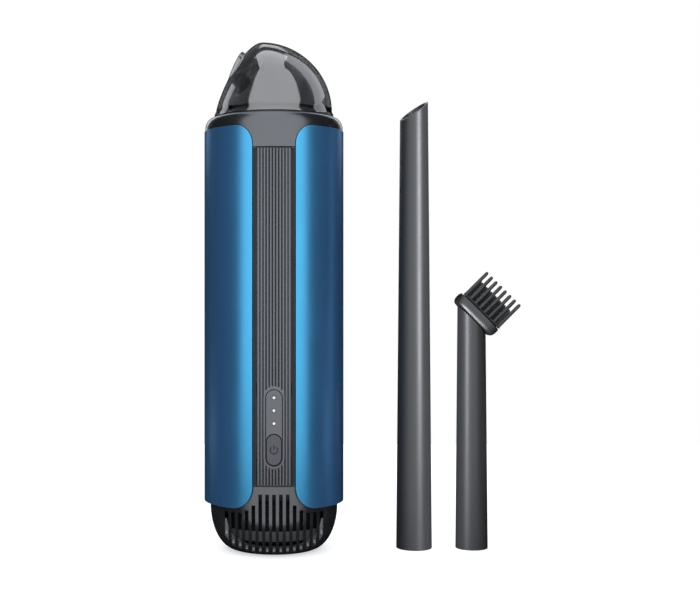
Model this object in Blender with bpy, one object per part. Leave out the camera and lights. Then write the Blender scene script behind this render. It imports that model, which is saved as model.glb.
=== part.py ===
"""Cordless hand vacuum, standing on its foot, with a crevice nozzle and a brush nozzle beside it.

All named sizes are millimetres; meshes are written in metres. +Z is up, the button faces -Y and the mouth -X.
The origin is the centre of the foot on the floor.
"""

import math

import bmesh
import bpy
from mathutils import Matrix, Vector

MM = 0.001
GAP = 0.3
SEGMENTS = 36
SMALL_SEGMENTS = 20

# Side panels and the skin behind them
PANEL_R = 34.0
PANEL_T = 1.8
PANEL_BOTTOM_Z = 24.0
PANEL_TOP_Z = 203.0
PANEL_TOP_CORNER = 9.0
PANEL_BOTTOM_CORNER = 10.5
PANEL_EDGE_ANGLE = 17.5
SKIN_R = PANEL_R - PANEL_T - GAP
HOUSING_WALL = 2.0
HOUSING_R = SKIN_R - HOUSING_WALL
NECK_R = HOUSING_R - GAP

# Exhaust cap, a slotted bowl
FOOT_FLAT_R = 19.0
FOOT_PROUD = 0.5
BOWL_R = 31.0
BOWL_Z = 22.0
CAP_TRIM_R = PANEL_R - 1.0
CAP_TOP_Z = PANEL_BOTTOM_Z + 10.6
CAP_WALL = 2.5
CAP_NECK_HEIGHT = 4.4
CAP_LEDGE_DEPTH = 4.0
CAP_SEGMENTS = 58
SLOT_REACH = 7
SLOT_PITCH = 3.2
SLOT_WIDTH = 1.6
SLOT_INNER_R = 17.0
SLOT_BRIDGE = 6.0
FOOT_PAD_R = 15.0
FOOT_PAD_T = 1.4

# Top collar
TONGUE_R = PANEL_R - 0.4
COLLAR_Z = PANEL_TOP_Z - 10.4
SHOULDER_Z = PANEL_TOP_Z + 1.6
SHOULDER_HEIGHT = 4.8
SEAM_R = PANEL_R - 3.7
SEAM_Z = SHOULDER_Z + SHOULDER_HEIGHT
COLLAR_NECK_HEIGHT = 6.0
NECK_WALL = 2.0
FILTER_SEAT_Z = PANEL_TOP_Z - 6.0
FILTER_SEAT_T = 2.0
FILTER_SEAT_R = 22.0

# Grip strips
HOUSING_BOTTOM_Z = CAP_TOP_Z + GAP
HOUSING_TOP_Z = COLLAR_Z - GAP
STRIP_IN_R = SKIN_R + GAP
STRIP_VALLEY_R = STRIP_IN_R + 0.5
STRIP_CREST_R = STRIP_IN_R + 1.0
RIB_COUNT = 11
RIB_BAND = 0.85  # share of the strip's width that carries ribs

# Indicator plate, lights and button
BUTTON_WIDTH = 6.5
PLATE_BORDER = 0.45
PLATE_WIDTH = BUTTON_WIDTH + 2 * GAP + 2 * PLATE_BORDER
PLATE_BOTTOM_Z = HOUSING_BOTTOM_Z + 9.3
PLATE_HEIGHT = 35.7
PLATE_FRONT = STRIP_CREST_R - 0.1
PLATE_T = 1.6
BUTTON_HEIGHT = 13.6
BUTTON_BOTTOM_Z = PLATE_BOTTOM_Z + 0.8
BUTTON_PROUD = 0.2
BUTTON_CAP_T = 1.3
BUTTON_TRAVEL = 0.6
BUTTON_STEM_R = 1.5
LIGHT_R = 0.65
LIGHT_PITCH = 6.0
LIGHT_FIRST_Z = PLATE_BOTTOM_Z + 19.8
SWITCH_SIDE = 4.5
SWITCH_T = 1.2
BOARD_WIDTH = 18.0
BOARD_T = 1.6
BOARD_HEIGHT = 36.0

# Charge socket at the rear
SOCKET_WIDTH = 9.0
SOCKET_HEIGHT = 3.2
SOCKET_DEPTH = 7.3
SOCKET_Z = HOUSING_BOTTOM_Z + 15.0
CHARGE_BOARD_T = 1.0

# Battery
CELL_R = 9.15
CELL_LENGTH = 65.0
CELL_SPACING = 2 * CELL_R + 3 * GAP
CELL_RING_R = CELL_SPACING / math.sqrt(3)
TRAY_Z = CAP_TOP_Z + CAP_NECK_HEIGHT + GAP
TRAY_T = 5.0
POCKET_FLOOR = 2.0
CELL_Z = TRAY_Z + POCKET_FLOOR + GAP
CELL_TOP_Z = CELL_Z + CELL_LENGTH
HOLDER_Z = CELL_TOP_Z + GAP + POCKET_FLOOR - TRAY_T
DRIVER_BOARD_R = 22.0

# Motor and fan, stacked down from the collar
SHAFT_R = 1.5
MOUNT_SEAT_Z = COLLAR_Z - 14.6
MOUNT_SEAT_T = 3.0
MOUNT_HEIGHT = 5.0
MOUNT_WALL = 3.1
MOTOR_WALL = 2.0
MOUNT_IN_R = NECK_R - MOUNT_WALL
MOTOR_HOUSING_R = MOUNT_IN_R - GAP
MOTOR_FLANGE_Z = MOUNT_SEAT_Z + MOUNT_HEIGHT + 2 * GAP
MOTOR_FLANGE_T = 2.0
MOTOR_HOUSING_BOTTOM_Z = MOUNT_SEAT_Z - 26.0
CAN_R = 14.1
CAN_WALL = 1.5
CAN_LENGTH = 27.0
CAN_TOP_Z = MOUNT_SEAT_Z - 0.3
CAN_BOTTOM_Z = CAN_TOP_Z - CAN_LENGTH
DIFFUSER_T = 2.0
BEARING_R = 4.0
BEARING_T = 2.4
MAGNET_R = 7.8
MAGNET_LENGTH = 13.0
SHROUD_Z = MOTOR_FLANGE_Z + MOTOR_FLANGE_T + GAP
SHROUD_HEIGHT = 5.3
SHROUD_T = 2.0
FAN_EYE_R = 11.0
IMPELLER_R = MOTOR_HOUSING_R - MOTOR_WALL - 1.7
IMPELLER_Z = MOUNT_SEAT_Z + 1.5
BLADE_COUNT = 9
BLADE_HEIGHT = 7.0

# Dust cup
CUP_R = SEAM_R - 1.9
CUP_HEIGHT = 34.0
CUP_APEX_X = -6.4
CUP_WALL = 1.8
CUP_BASE_Z = SEAM_Z + 3.6
CUP_FLANGE_R = SEAM_R - 0.8
CUP_FLANGE_T = 1.8
SKIRT_R = CUP_R - 1.0
SKIRT_IN_R = CUP_R - 2.7
SKIRT_Z = PANEL_TOP_Z + 0.3
GASKET_T = 1.0

# Mouth of the dust cup
MOUTH_ANGLE = math.radians(35)
MOUTH_HEIGHT = 21.8
MOUTH_PROUD = 1.55
MOUTH_BORE_R = 8.8
MOUTH_WALL = 0.8
MOUTH_TUBE_DEPTH = 9.0
LIP_ARC_R = 20.3
LIP_ARC_BACK = 19.46
LIP_ARC_ANGLE = math.radians(24.6)
NOZZLE_STOP_DEPTH = 4.5
STOP_WALL = 1.3
FLAP_R = MOUTH_BORE_R - 0.5
FLAP_T = 1.0
FLAP_PIN_R = 0.6
KNUCKLE_R = 1.6
KNUCKLE_WIDTH = 10.6
EAR_T = 1.6

# Filter
FILTER_RIM_R = SKIRT_IN_R - 0.4
FILTER_RIM_T = 2.0
FILTER_HEIGHT = 16.0
FILTER_TOP_T = 2.0
PLEAT_COUNT = 24
PLEAT_OUT_R = 17.9
PLEAT_DEPTH = 3.7
PLEAT_T = 0.7
POST_T = 1.6
SCREEN_T = 0.5

# Nozzles
CREVICE_X = 68.6
CREVICE_LENGTH = 213.9
CREVICE_TIP_SLOPE = 0.68
CREVICE_TIP_TURN = 0.25
NOZZLE_R = MOUTH_BORE_R - 0.1
NOZZLE_TIP_R = 6.85
NOZZLE_WALL = 1.2
BRUSH_X = 96.8
BRUSH_BASE_R = 7.85
HEAD_Z = 112.0
HEAD_LENGTH = 25.5
HEAD_WIDTH = 17.0
HEAD_T = 5.1
SLOT_HALF_WIDTH = 3.0
BAR_T = 1.2
BAR_WIDTH = 4.6
BAR_LENGTH = HEAD_LENGTH - 1.2
BAR_Y = SLOT_HALF_WIDTH + 0.2 + BAR_WIDTH / 2
TUFT_COUNT = 8
TUFT_PITCH = 3.15
TUFT_R = 0.9
TUFT_LENGTH = 16.0
SHORT_TUFT_LENGTH = 12.2
SHORT_ROW_PITCH = 2.3
SPIGOT_DEPTH = 9.0

FINISHES = {
    "graphite satin": ((0.075, 0.078, 0.083), 0.42, 0.0),
    "graphite gloss": ((0.02, 0.02, 0.022), 0.12, 0.0),
    "blue panel": ((0.02, 0.16, 0.42), 0.3, 0.8),
    "smoked clear": ((0.12, 0.12, 0.13), 0.05, 0.0),
    "inner plastic": ((0.05, 0.05, 0.055), 0.5, 0.0),
    "nozzle plastic": ((0.06, 0.06, 0.065), 0.35, 0.0),
    "rubber": ((0.02, 0.02, 0.02), 0.7, 0.0),
    "steel": ((0.6, 0.6, 0.6), 0.3, 1.0),
    "copper": ((0.72, 0.38, 0.2), 0.4, 1.0),
    "circuit board": ((0.01, 0.16, 0.06), 0.45, 0.0),
    "cell wrap": ((0.03, 0.25, 0.3), 0.4, 0.0),
    "white": ((0.85, 0.85, 0.82), 0.6, 0.0),
    "foam": ((0.1, 0.1, 0.1), 0.95, 0.0),
}


# ---------------------------------------------------------------- modelling helpers


def polar(radius, angle, z):
    return (radius * math.cos(angle), radius * math.sin(angle), z)


def circle(radius, z, segments):
    return [polar(radius, 2 * math.pi * i / segments, z) for i in range(segments)]


def loft(rings, closed=False):
    """Skins rings of equally many points; a closed loft returns to its first ring, an open one gets end caps."""
    count = len(rings[0])
    points = [point for ring in rings for point in ring]
    faces = []
    for i in range(len(rings) if closed else len(rings) - 1):
        here = i * count
        there = (i + 1) % len(rings) * count
        for j in range(count):
            k = (j + 1) % count
            faces.append((here + j, here + k, there + k, there + j))
    if not closed:
        faces.append(tuple(range(count)))
        faces.append(tuple(range(len(points) - count, len(points))))
    return points, faces


def turned(profile, segments=SEGMENTS, closed=True):
    """A profile of (radius, z) points turned about Z; an open profile gets a flat cap at each end."""
    return loft([circle(radius, z, segments) for radius, z in profile], closed)


def tube(outer, inner, bottom, top, segments=SEGMENTS):
    return turned([(outer, top), (outer, bottom), (inner, bottom), (inner, top)], segments)


def rod(radius, bottom, top, segments=SMALL_SEGMENTS):
    return turned([(radius, bottom), (radius, top)], segments, closed=False)


def block(low, high):
    (x0, y0, z0), (x1, y1, z1) = low, high
    return loft([[(x0, y0, z), (x1, y0, z), (x1, y1, z), (x0, y1, z)] for z in (z0, z1)])


def pill(width, bottom, top, front, back):
    """Upright pill outline in XZ, extruded along Y from front to back."""
    half = width / 2
    outline = []
    for centre_z, start in ((top - half, 0.0), (bottom + half, math.pi)):
        for i in range(9):
            angle = start + math.pi * i / 8
            outline.append((half * math.cos(angle), centre_z + half * math.sin(angle)))
    return loft([[(x, y, z) for x, z in outline] for y in (front, back)])


def moved(shape, matrix):
    points, faces = shape
    return [tuple(matrix @ Vector(point)) for point in points], faces


def joined(shapes):
    points, faces = [], []
    for shape_points, shape_faces in shapes:
        start = len(points)
        points.extend(shape_points)
        faces.extend(tuple(start + i for i in face) for face in shape_faces)
    return points, faces


def ring_of(count, radius, shape, start=0.0):
    """Copies of a shape set at a radius along X, turned about Z."""
    step = 2 * math.pi / count
    offset = Matrix.Translation((radius, 0, 0))
    return joined([moved(shape, Matrix.Rotation(start + i * step, 4, "Z") @ offset) for i in range(count)])


def add_mesh(name, shape, origin):
    mesh = bpy.data.meshes.new(name)
    mesh.from_pydata([(Vector(point) - Vector(origin)) * MM for point in shape[0]], [], shape[1])
    work = bmesh.new()
    work.from_mesh(mesh)
    bmesh.ops.recalc_face_normals(work, faces=work.faces)
    work.to_mesh(mesh)
    work.free()
    piece = bpy.data.objects.new(name, mesh)
    bpy.context.scene.collection.objects.link(piece)
    piece.location = Vector(origin) * MM
    return piece


def add_piece(name, shape, finish, group):
    """A visible piece: a mesh with its own material, parented to the group that it moves with."""
    piece = add_mesh(name, shape, group["origin_mm"])
    piece.parent = group
    piece.location = (0, 0, 0)
    colour, roughness, metallic = FINISHES[finish]
    material = bpy.data.materials.new(name)
    material.use_nodes = True
    shader = material.node_tree.nodes["Principled BSDF"]
    shader.inputs["Base Color"].default_value = (*colour, 1.0)
    shader.inputs["Roughness"].default_value = roughness
    shader.inputs["Metallic"].default_value = metallic
    piece.data.materials.append(material)
    piece.data.shade_smooth()
    piece.data.set_sharp_from_angle(angle=math.radians(35))
    return piece


def combine(piece, tool_name, shape, operation):
    tool = add_mesh(tool_name, shape, piece.parent["origin_mm"])
    tool.parent = piece.parent
    tool.location = (0, 0, 0)
    tool.hide_render = True
    tool.display_type = "WIRE"
    modifier = piece.modifiers.new(tool_name, "BOOLEAN")
    modifier.operation = operation
    modifier.solver = "EXACT"
    modifier.object = tool


def cut(piece, tool_name, shape):
    combine(piece, tool_name, shape, "DIFFERENCE")


def unite(piece, tool_name, shape):
    combine(piece, tool_name, shape, "UNION")


def add_group(name, origin, parent=None):
    """An empty on the joint's axis, which carries the pieces that move together."""
    group = bpy.data.objects.new(name, None)
    bpy.context.scene.collection.objects.link(group)
    group["origin_mm"] = origin
    base = Vector(parent["origin_mm"]) if parent else Vector((0, 0, 0))
    group.parent = parent
    group.location = (Vector(origin) - base) * MM
    return group


# ---------------------------------------------------------------- skin


def panel_shape(middle_angle, grow=0.0, outer_r=PANEL_R):
    """Curved plate with rounded corners, as upright columns side by side; grow gives the clearance around it."""
    half = math.radians(90 - PANEL_EDGE_ANGLE) + grow / PANEL_R
    widest = max(PANEL_TOP_CORNER, PANEL_BOTTOM_CORNER) + grow
    edge_steps = [widest * (1 - math.cos(math.radians(15 * i))) / PANEL_R for i in range(7)]
    left = [-half + step for step in edge_steps]
    right = [half - step for step in reversed(edge_steps)]
    flat = right[0] - left[-1]
    middle = [left[-1] + flat * i / 18 for i in range(1, 18)]

    def inset(angle, corner):
        reach = max(corner - (half - abs(angle)) * PANEL_R, 0.0)
        return corner - math.sqrt(max(corner**2 - reach**2, 0.0))

    inner_r = PANEL_R - PANEL_T - grow
    columns = []
    for angle in left + middle + right:
        low = PANEL_BOTTOM_Z - grow + inset(angle, PANEL_BOTTOM_CORNER + grow)
        high = PANEL_TOP_Z + grow - inset(angle, PANEL_TOP_CORNER + grow)
        turn = middle_angle + angle
        columns.append([polar(r, turn, z) for r, z in
                        ((outer_r, low), (outer_r, high), (inner_r, high), (inner_r, low))])
    return loft(columns)


def panel_recess(middle_angle):
    return panel_shape(middle_angle, GAP, PANEL_R + 3)


def make_panels(body):
    add_piece("right_panel", panel_shape(0.0), "blue panel", body)
    add_piece("left_panel", panel_shape(math.pi), "blue panel", body)


def strip_shape(middle_angle):
    """Thin curved strip with upright ribs between the panels."""
    half = math.radians(PANEL_EDGE_ANGLE) - GAP / PANEL_R
    pitch = 2 * half * RIB_BAND / RIB_COUNT
    columns = [(middle_angle - half, STRIP_VALLEY_R)]
    for i in range(RIB_COUNT):
        start = middle_angle + (i - RIB_COUNT / 2) * pitch
        for share, radius in ((0.1, STRIP_VALLEY_R), (0.3, STRIP_CREST_R), (0.7, STRIP_CREST_R), (0.9, STRIP_VALLEY_R)):
            columns.append((start + share * pitch, radius))
    columns.append((middle_angle + half, STRIP_VALLEY_R))
    return loft([[polar(r, angle, z) for r, z in
                  ((radius, HOUSING_BOTTOM_Z), (radius, HOUSING_TOP_Z),
                   (STRIP_IN_R, HOUSING_TOP_Z), (STRIP_IN_R, HOUSING_BOTTOM_Z))]
                 for angle, radius in columns])


def socket_opening(front, back):
    outline = pill(SOCKET_HEIGHT + 2 * GAP, 0, SOCKET_WIDTH + 2 * GAP, front, back)
    middle = (SOCKET_WIDTH + 2 * GAP) / 2
    lay_flat = Matrix.Translation((0, 0, SOCKET_Z)) @ Matrix.Rotation(math.pi / 2, 4, "Y")
    return moved(outline, lay_flat @ Matrix.Translation((0, 0, -middle)))


def make_strips(body):
    front = add_piece("front_grip_strip", strip_shape(-math.pi / 2), "graphite satin", body)
    plate_top = PLATE_BOTTOM_Z + PLATE_HEIGHT
    cut(front, "cutter_strip_plate",
        pill(PLATE_WIDTH + 2 * GAP, PLATE_BOTTOM_Z - GAP, plate_top + GAP, -PANEL_R - 2, -HOUSING_R))
    rear = add_piece("rear_grip_strip", strip_shape(math.pi / 2), "graphite satin", body)
    cut(rear, "cutter_strip_socket", socket_opening(HOUSING_R, PANEL_R + 2))


def make_housing(body):
    """Inner tube with an inner ring that carries the motor mount."""
    profile = [(SKIN_R, HOUSING_TOP_Z), (SKIN_R, HOUSING_BOTTOM_Z), (HOUSING_R, HOUSING_BOTTOM_Z),
               (HOUSING_R, MOUNT_SEAT_Z - MOUNT_SEAT_T), (MOUNT_IN_R + 0.7, MOUNT_SEAT_Z - MOUNT_SEAT_T),
               (MOUNT_IN_R + 0.7, MOUNT_SEAT_Z), (HOUSING_R, MOUNT_SEAT_Z), (HOUSING_R, HOUSING_TOP_Z)]
    housing = add_piece("main_housing", turned(profile), "inner plastic", body)
    pocket_floor = PLATE_FRONT - PLATE_T - GAP
    cut(housing, "cutter_plate_pocket",
        pill(PLATE_WIDTH + 2 * GAP, PLATE_BOTTOM_Z - GAP, PLATE_BOTTOM_Z + PLATE_HEIGHT + GAP,
             -PANEL_R - 2, -pocket_floor))
    to_front = Matrix.Rotation(math.pi / 2, 4, "X")
    holes = [moved(rod(BUTTON_STEM_R + 0.4, HOUSING_R - 3, PANEL_R, 16),
                   Matrix.Translation((0, 0, button_centre_z())) @ to_front)]
    for i in range(3):
        holes.append(moved(rod(LIGHT_R + GAP, HOUSING_R - 3, PANEL_R, 12),
                           Matrix.Translation((0, 0, LIGHT_FIRST_Z + i * LIGHT_PITCH)) @ to_front))
    cut(housing, "cutter_front_holes", joined(holes))
    cut(housing, "cutter_housing_socket", socket_opening(HOUSING_R - 3, PANEL_R + 2))
    cut(housing, "cutter_housing_screws", screw_holes(0.3))


# ---------------------------------------------------------------- exhaust end


SCREW_Z = CAP_TOP_Z + CAP_NECK_HEIGHT / 2 + 0.3
SCREW_HEAD_R = 1.3
SCREW_SHANK_R = 0.7


def screw_shape(side, grow=0.0):
    """Countersunk cross screw that lies along X under a panel."""
    head_x = SKIN_R - 0.3
    profile = [(SCREW_HEAD_R + grow, head_x + 4 * grow), (SCREW_HEAD_R + grow, head_x - 0.7 - grow),
               (SCREW_SHANK_R + grow, head_x - 0.7 - grow),
               (SCREW_SHANK_R + grow, HOUSING_R - GAP - NECK_WALL + 0.2 - 10 * grow)]
    turn = Matrix.Rotation(side * math.pi / 2, 4, "Y")
    return moved(turned(profile, 12, closed=False), Matrix.Translation((0, 0, SCREW_Z)) @ turn)


def screw_holes(grow):
    return joined([screw_shape(1, grow), screw_shape(-1, grow)])


def slot_top(steps_from_front):
    """Slots rise highest in the tongue between the panels and step down beside it."""
    tongue_top = CAP_TOP_Z - 3.6
    tops = [tongue_top, tongue_top, tongue_top, tongue_top - 5.4, tongue_top - 8.0, BOWL_Z - 0.5]
    return tops[min(steps_from_front, 5)]


def bowl_curve(inward, steps):
    """Quarter ellipse of the bowl, from its top rim down to the foot, moved inward by a wall."""
    drop = BOWL_Z - FOOT_PROUD - inward
    width = BOWL_R - FOOT_FLAT_R - inward
    angles = [math.pi / 2 * i / steps for i in range(steps + 1)]
    return [(FOOT_FLAT_R + width * math.cos(a), BOWL_Z - drop * math.sin(a)) for a in angles]


def exhaust_slots():
    """Straight upright slots side by side, front and rear, with a bridge left between them under the bowl."""
    slots = []
    for step in range(-SLOT_REACH, SLOT_REACH + 1):
        x = step * SLOT_PITCH
        top = slot_top(abs(step))

        def depth(radius):
            return math.sqrt(max(radius**2 - x**2, SLOT_BRIDGE**2))
        inner = [(depth(r), z) for r, z in bowl_curve(CAP_WALL + 1.2, 2)]
        outline = [(depth(SLOT_INNER_R), -3), (PANEL_R + 4, -3), (PANEL_R + 4, top), (inner[0][0], top)]
        outline += [point for point in inner if point[1] < top - 0.1] + [(depth(SLOT_INNER_R), inner[-1][1])]
        for side in (-1, 1):
            slots.append(loft([[(x + edge * SLOT_WIDTH / 2, side * y, z) for y, z in outline] for edge in (-1, 1)]))
    return joined(slots)


def make_exhaust_cap(body):
    """Slotted bowl with a neck that plugs into the housing and a ledge for the foam."""
    inner_r = NECK_R - NECK_WALL
    neck_top = CAP_TOP_Z + CAP_NECK_HEIGHT
    ledge_top = CAP_TOP_Z - 2.6
    recess_top = FOOT_PROUD + FOOT_PAD_T - 0.2
    outer = bowl_curve(0.0, 4)
    inner = bowl_curve(CAP_WALL, 2)
    profile = [(FOOT_PAD_R + GAP, recess_top), (FOOT_PAD_R + GAP, FOOT_PROUD)] + outer[::-1]
    profile += [(CAP_TRIM_R, CAP_TOP_Z), (NECK_R, CAP_TOP_Z), (NECK_R, neck_top), (inner_r, neck_top),
                (inner_r, ledge_top), (inner_r - CAP_LEDGE_DEPTH + 1, ledge_top),
                (inner_r - CAP_LEDGE_DEPTH + 1, ledge_top - 2), (inner[0][0], ledge_top - 2)]
    profile += inner
    cap = add_piece("exhaust_cap", turned(profile, CAP_SEGMENTS, closed=False), "graphite gloss", body)
    cut(cap, "cutter_cap_slots", exhaust_slots())
    cut(cap, "cutter_cap_panels", joined([panel_recess(0.0), panel_recess(math.pi)]))
    cut(cap, "cutter_cap_screws", screw_holes(0.2))
    add_piece("foot_pad", turned([(FOOT_PAD_R, 0.0), (FOOT_PAD_R, FOOT_PAD_T)], closed=False), "rubber", body)
    foam_top = neck_top - 0.2
    add_piece("exhaust_foam", turned([(inner_r - GAP, ledge_top + GAP), (inner_r - GAP, foam_top)], 32, False),
              "foam", body)
    for name, side in (("cap_screw_right", 1), ("cap_screw_left", -1)):
        add_piece(name, screw_shape(side), "steel", body)


# ---------------------------------------------------------------- collar


def make_collar(body):
    inner_r = SKIRT_R + GAP
    step_r = SKIRT_IN_R + 0.5
    shoulder = [(SEAM_R + (TONGUE_R - SEAM_R) * math.cos(a), SHOULDER_Z + SHOULDER_HEIGHT * math.sin(a))
                for a in [math.pi / 2 * i / 4 for i in range(5)]]
    profile = [(inner_r, SEAM_Z)] + shoulder[::-1]
    profile += [(TONGUE_R, COLLAR_Z), (NECK_R, COLLAR_Z), (NECK_R, COLLAR_Z - COLLAR_NECK_HEIGHT),
                (NECK_R - NECK_WALL, COLLAR_Z - COLLAR_NECK_HEIGHT),
                (NECK_R - NECK_WALL, FILTER_SEAT_Z - FILTER_SEAT_T), (FILTER_SEAT_R, FILTER_SEAT_Z - FILTER_SEAT_T),
                (FILTER_SEAT_R, FILTER_SEAT_Z), (step_r, FILTER_SEAT_Z), (step_r, SKIRT_Z - GASKET_T - 2 * GAP),
                (inner_r, SKIRT_Z - GASKET_T - 2 * GAP)]
    collar = add_piece("top_collar", turned(profile), "graphite satin", body)
    cut(collar, "cutter_collar_panels", joined([panel_recess(0.0), panel_recess(math.pi)]))


# ---------------------------------------------------------------- button and lights


def button_centre_z():
    return BUTTON_BOTTOM_Z + BUTTON_HEIGHT / 2


def make_indicator(body):
    plate = add_piece("indicator_plate",
                      pill(PLATE_WIDTH, PLATE_BOTTOM_Z, PLATE_BOTTOM_Z + PLATE_HEIGHT,
                           -PLATE_FRONT, -PLATE_FRONT + PLATE_T), "graphite gloss", body)
    cut(plate, "cutter_button_opening",
        pill(BUTTON_WIDTH + 2 * GAP, BUTTON_BOTTOM_Z - GAP, BUTTON_BOTTOM_Z + BUTTON_HEIGHT + GAP,
             -PANEL_R - 2, -HOUSING_R))
    to_front = Matrix.Rotation(math.pi / 2, 4, "X")
    heights = [LIGHT_FIRST_Z + i * LIGHT_PITCH for i in range(3)]
    cut(plate, "cutter_light_holes",
        joined([moved(rod(LIGHT_R + GAP, HOUSING_R, PANEL_R + 2, 12), Matrix.Translation((0, 0, z)) @ to_front)
                for z in heights]))
    bar_back = -board_front() - GAP
    bar = block((-0.9, bar_back - 0.8, heights[0] - 1.3), (0.9, bar_back, heights[-1] + 1.3))
    light = add_piece("light_pipe", bar, "white", body)
    unite(light, "guide_light_pins",
          joined([moved(rod(LIGHT_R, board_front() + GAP + 0.4, PLATE_FRONT, 12),
                        Matrix.Translation((0, 0, z)) @ to_front) for z in heights]))


def make_button(group):
    front = -PLATE_FRONT - BUTTON_PROUD
    button = add_piece("power_button",
                       pill(BUTTON_WIDTH, BUTTON_BOTTOM_Z, BUTTON_BOTTOM_Z + BUTTON_HEIGHT,
                            front, front + BUTTON_CAP_T), "graphite satin", group)
    stem_end = board_front() + GAP + SWITCH_T + GAP + BUTTON_TRAVEL
    unite(button, "guide_button_stem",
          moved(rod(BUTTON_STEM_R, stem_end, PLATE_FRONT - 0.5, 16),
                Matrix.Translation((0, 0, button_centre_z())) @ Matrix.Rotation(math.pi / 2, 4, "X")))


def board_front():
    """Distance of the control board's front face from the axis, where its edges or its switch come close to the housing."""
    edge_seat = math.sqrt(HOUSING_R**2 - (BOARD_WIDTH / 2)**2) - 0.5
    switch_seat = HOUSING_R - SWITCH_T - 2 * GAP - 0.09
    return min(edge_seat, switch_seat)


def make_boards(body):
    front = -board_front()
    bottom = button_centre_z() - 7
    add_piece("control_board", block((-BOARD_WIDTH / 2, front, bottom),
                                     (BOARD_WIDTH / 2, front + BOARD_T, bottom + BOARD_HEIGHT)),
              "circuit board", body)
    half = SWITCH_SIDE / 2
    middle = button_centre_z()
    add_piece("switch_body", block((-half, front - GAP - SWITCH_T, middle - half), (half, front - GAP, middle + half)),
              "steel", body)
    board_top = SOCKET_Z - SOCKET_HEIGHT / 2 - GAP
    reach = math.sqrt(HOUSING_R**2 - 49) - 0.4
    cells_edge = CELL_RING_R + CELL_R + 2 * GAP
    add_piece("charge_board", block((-7, cells_edge, board_top - CHARGE_BOARD_T), (7, reach, board_top)),
              "circuit board", body)
    mouth = STRIP_VALLEY_R - 0.2
    outline = pill(SOCKET_HEIGHT, 0, SOCKET_WIDTH, mouth - SOCKET_DEPTH, mouth)
    lay_flat = Matrix.Translation((0, 0, SOCKET_Z)) @ Matrix.Rotation(math.pi / 2, 4, "Y")
    centred = lay_flat @ Matrix.Translation((0, 0, -SOCKET_WIDTH / 2))
    socket = add_piece("charge_socket", moved(outline, centred), "steel", body)
    wall = 0.35
    inside = pill(SOCKET_HEIGHT - 2 * wall, wall, SOCKET_WIDTH - wall, mouth - SOCKET_DEPTH + 1, mouth + 1)
    cut(socket, "cutter_socket_mouth", moved(inside, centred))
    tongue = block((-3.3, mouth - SOCKET_DEPTH + 0.5, SOCKET_Z - 0.35), (3.3, mouth - 0.8, SOCKET_Z + 0.35))
    unite(socket, "guide_socket_tongue", tongue)


# ---------------------------------------------------------------- battery


def cell_angles():
    return [math.pi / 2 + 2 * math.pi * i / 3 for i in range(3)]


def make_battery(body):
    cap_r, cap_z = CELL_R * 0.4, 1.0
    for i, angle in enumerate(cell_angles()):
        x, y, _ = polar(CELL_RING_R, angle, 0)
        profile = [(CELL_R, CELL_Z), (CELL_R, CELL_TOP_Z - cap_z), (cap_r, CELL_TOP_Z - cap_z), (cap_r, CELL_TOP_Z)]
        add_piece(f"battery_cell_{i + 1}", moved(turned(profile, 24, False), Matrix.Translation((x, y, 0))),
                  "cell wrap", body)
    pockets = ((("battery_tray", "cutter_tray_pockets", TRAY_Z, TRAY_Z + POCKET_FLOOR, TRAY_Z + TRAY_T + 1)),
               (("battery_top_holder", "cutter_holder_pockets", HOLDER_Z, HOLDER_Z - 1,
                 HOLDER_Z + TRAY_T - POCKET_FLOOR)))
    for name, tool, bottom, pocket_low, pocket_high in pockets:
        disc = turned([(HOUSING_R - GAP, bottom), (HOUSING_R - GAP, bottom + TRAY_T)], closed=False)
        tray = add_piece(name, disc, "inner plastic", body)
        cut(tray, tool, ring_of(3, CELL_RING_R, rod(CELL_R + GAP, pocket_low, pocket_high, 24), math.pi / 2))
        vent_r = HOUSING_R - CELL_RING_R - 14.0
        vent = rod(vent_r, bottom - 1, bottom + TRAY_T + 1, 16)
        cut(tray, tool.replace("pockets", "vents"), ring_of(3, CELL_RING_R + 9.4, vent, math.pi / 6))
    board_z = HOLDER_Z + TRAY_T + GAP
    board = add_piece("motor_driver_board",
                      turned([(DRIVER_BOARD_R, board_z), (DRIVER_BOARD_R, board_z + BOARD_T)], 32, False),
                      "circuit board", body)
    cut(board, "cutter_driver_board_hole", rod(4, board_z - 1, board_z + BOARD_T + 1, 16))


# ---------------------------------------------------------------- motor and fan


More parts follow.
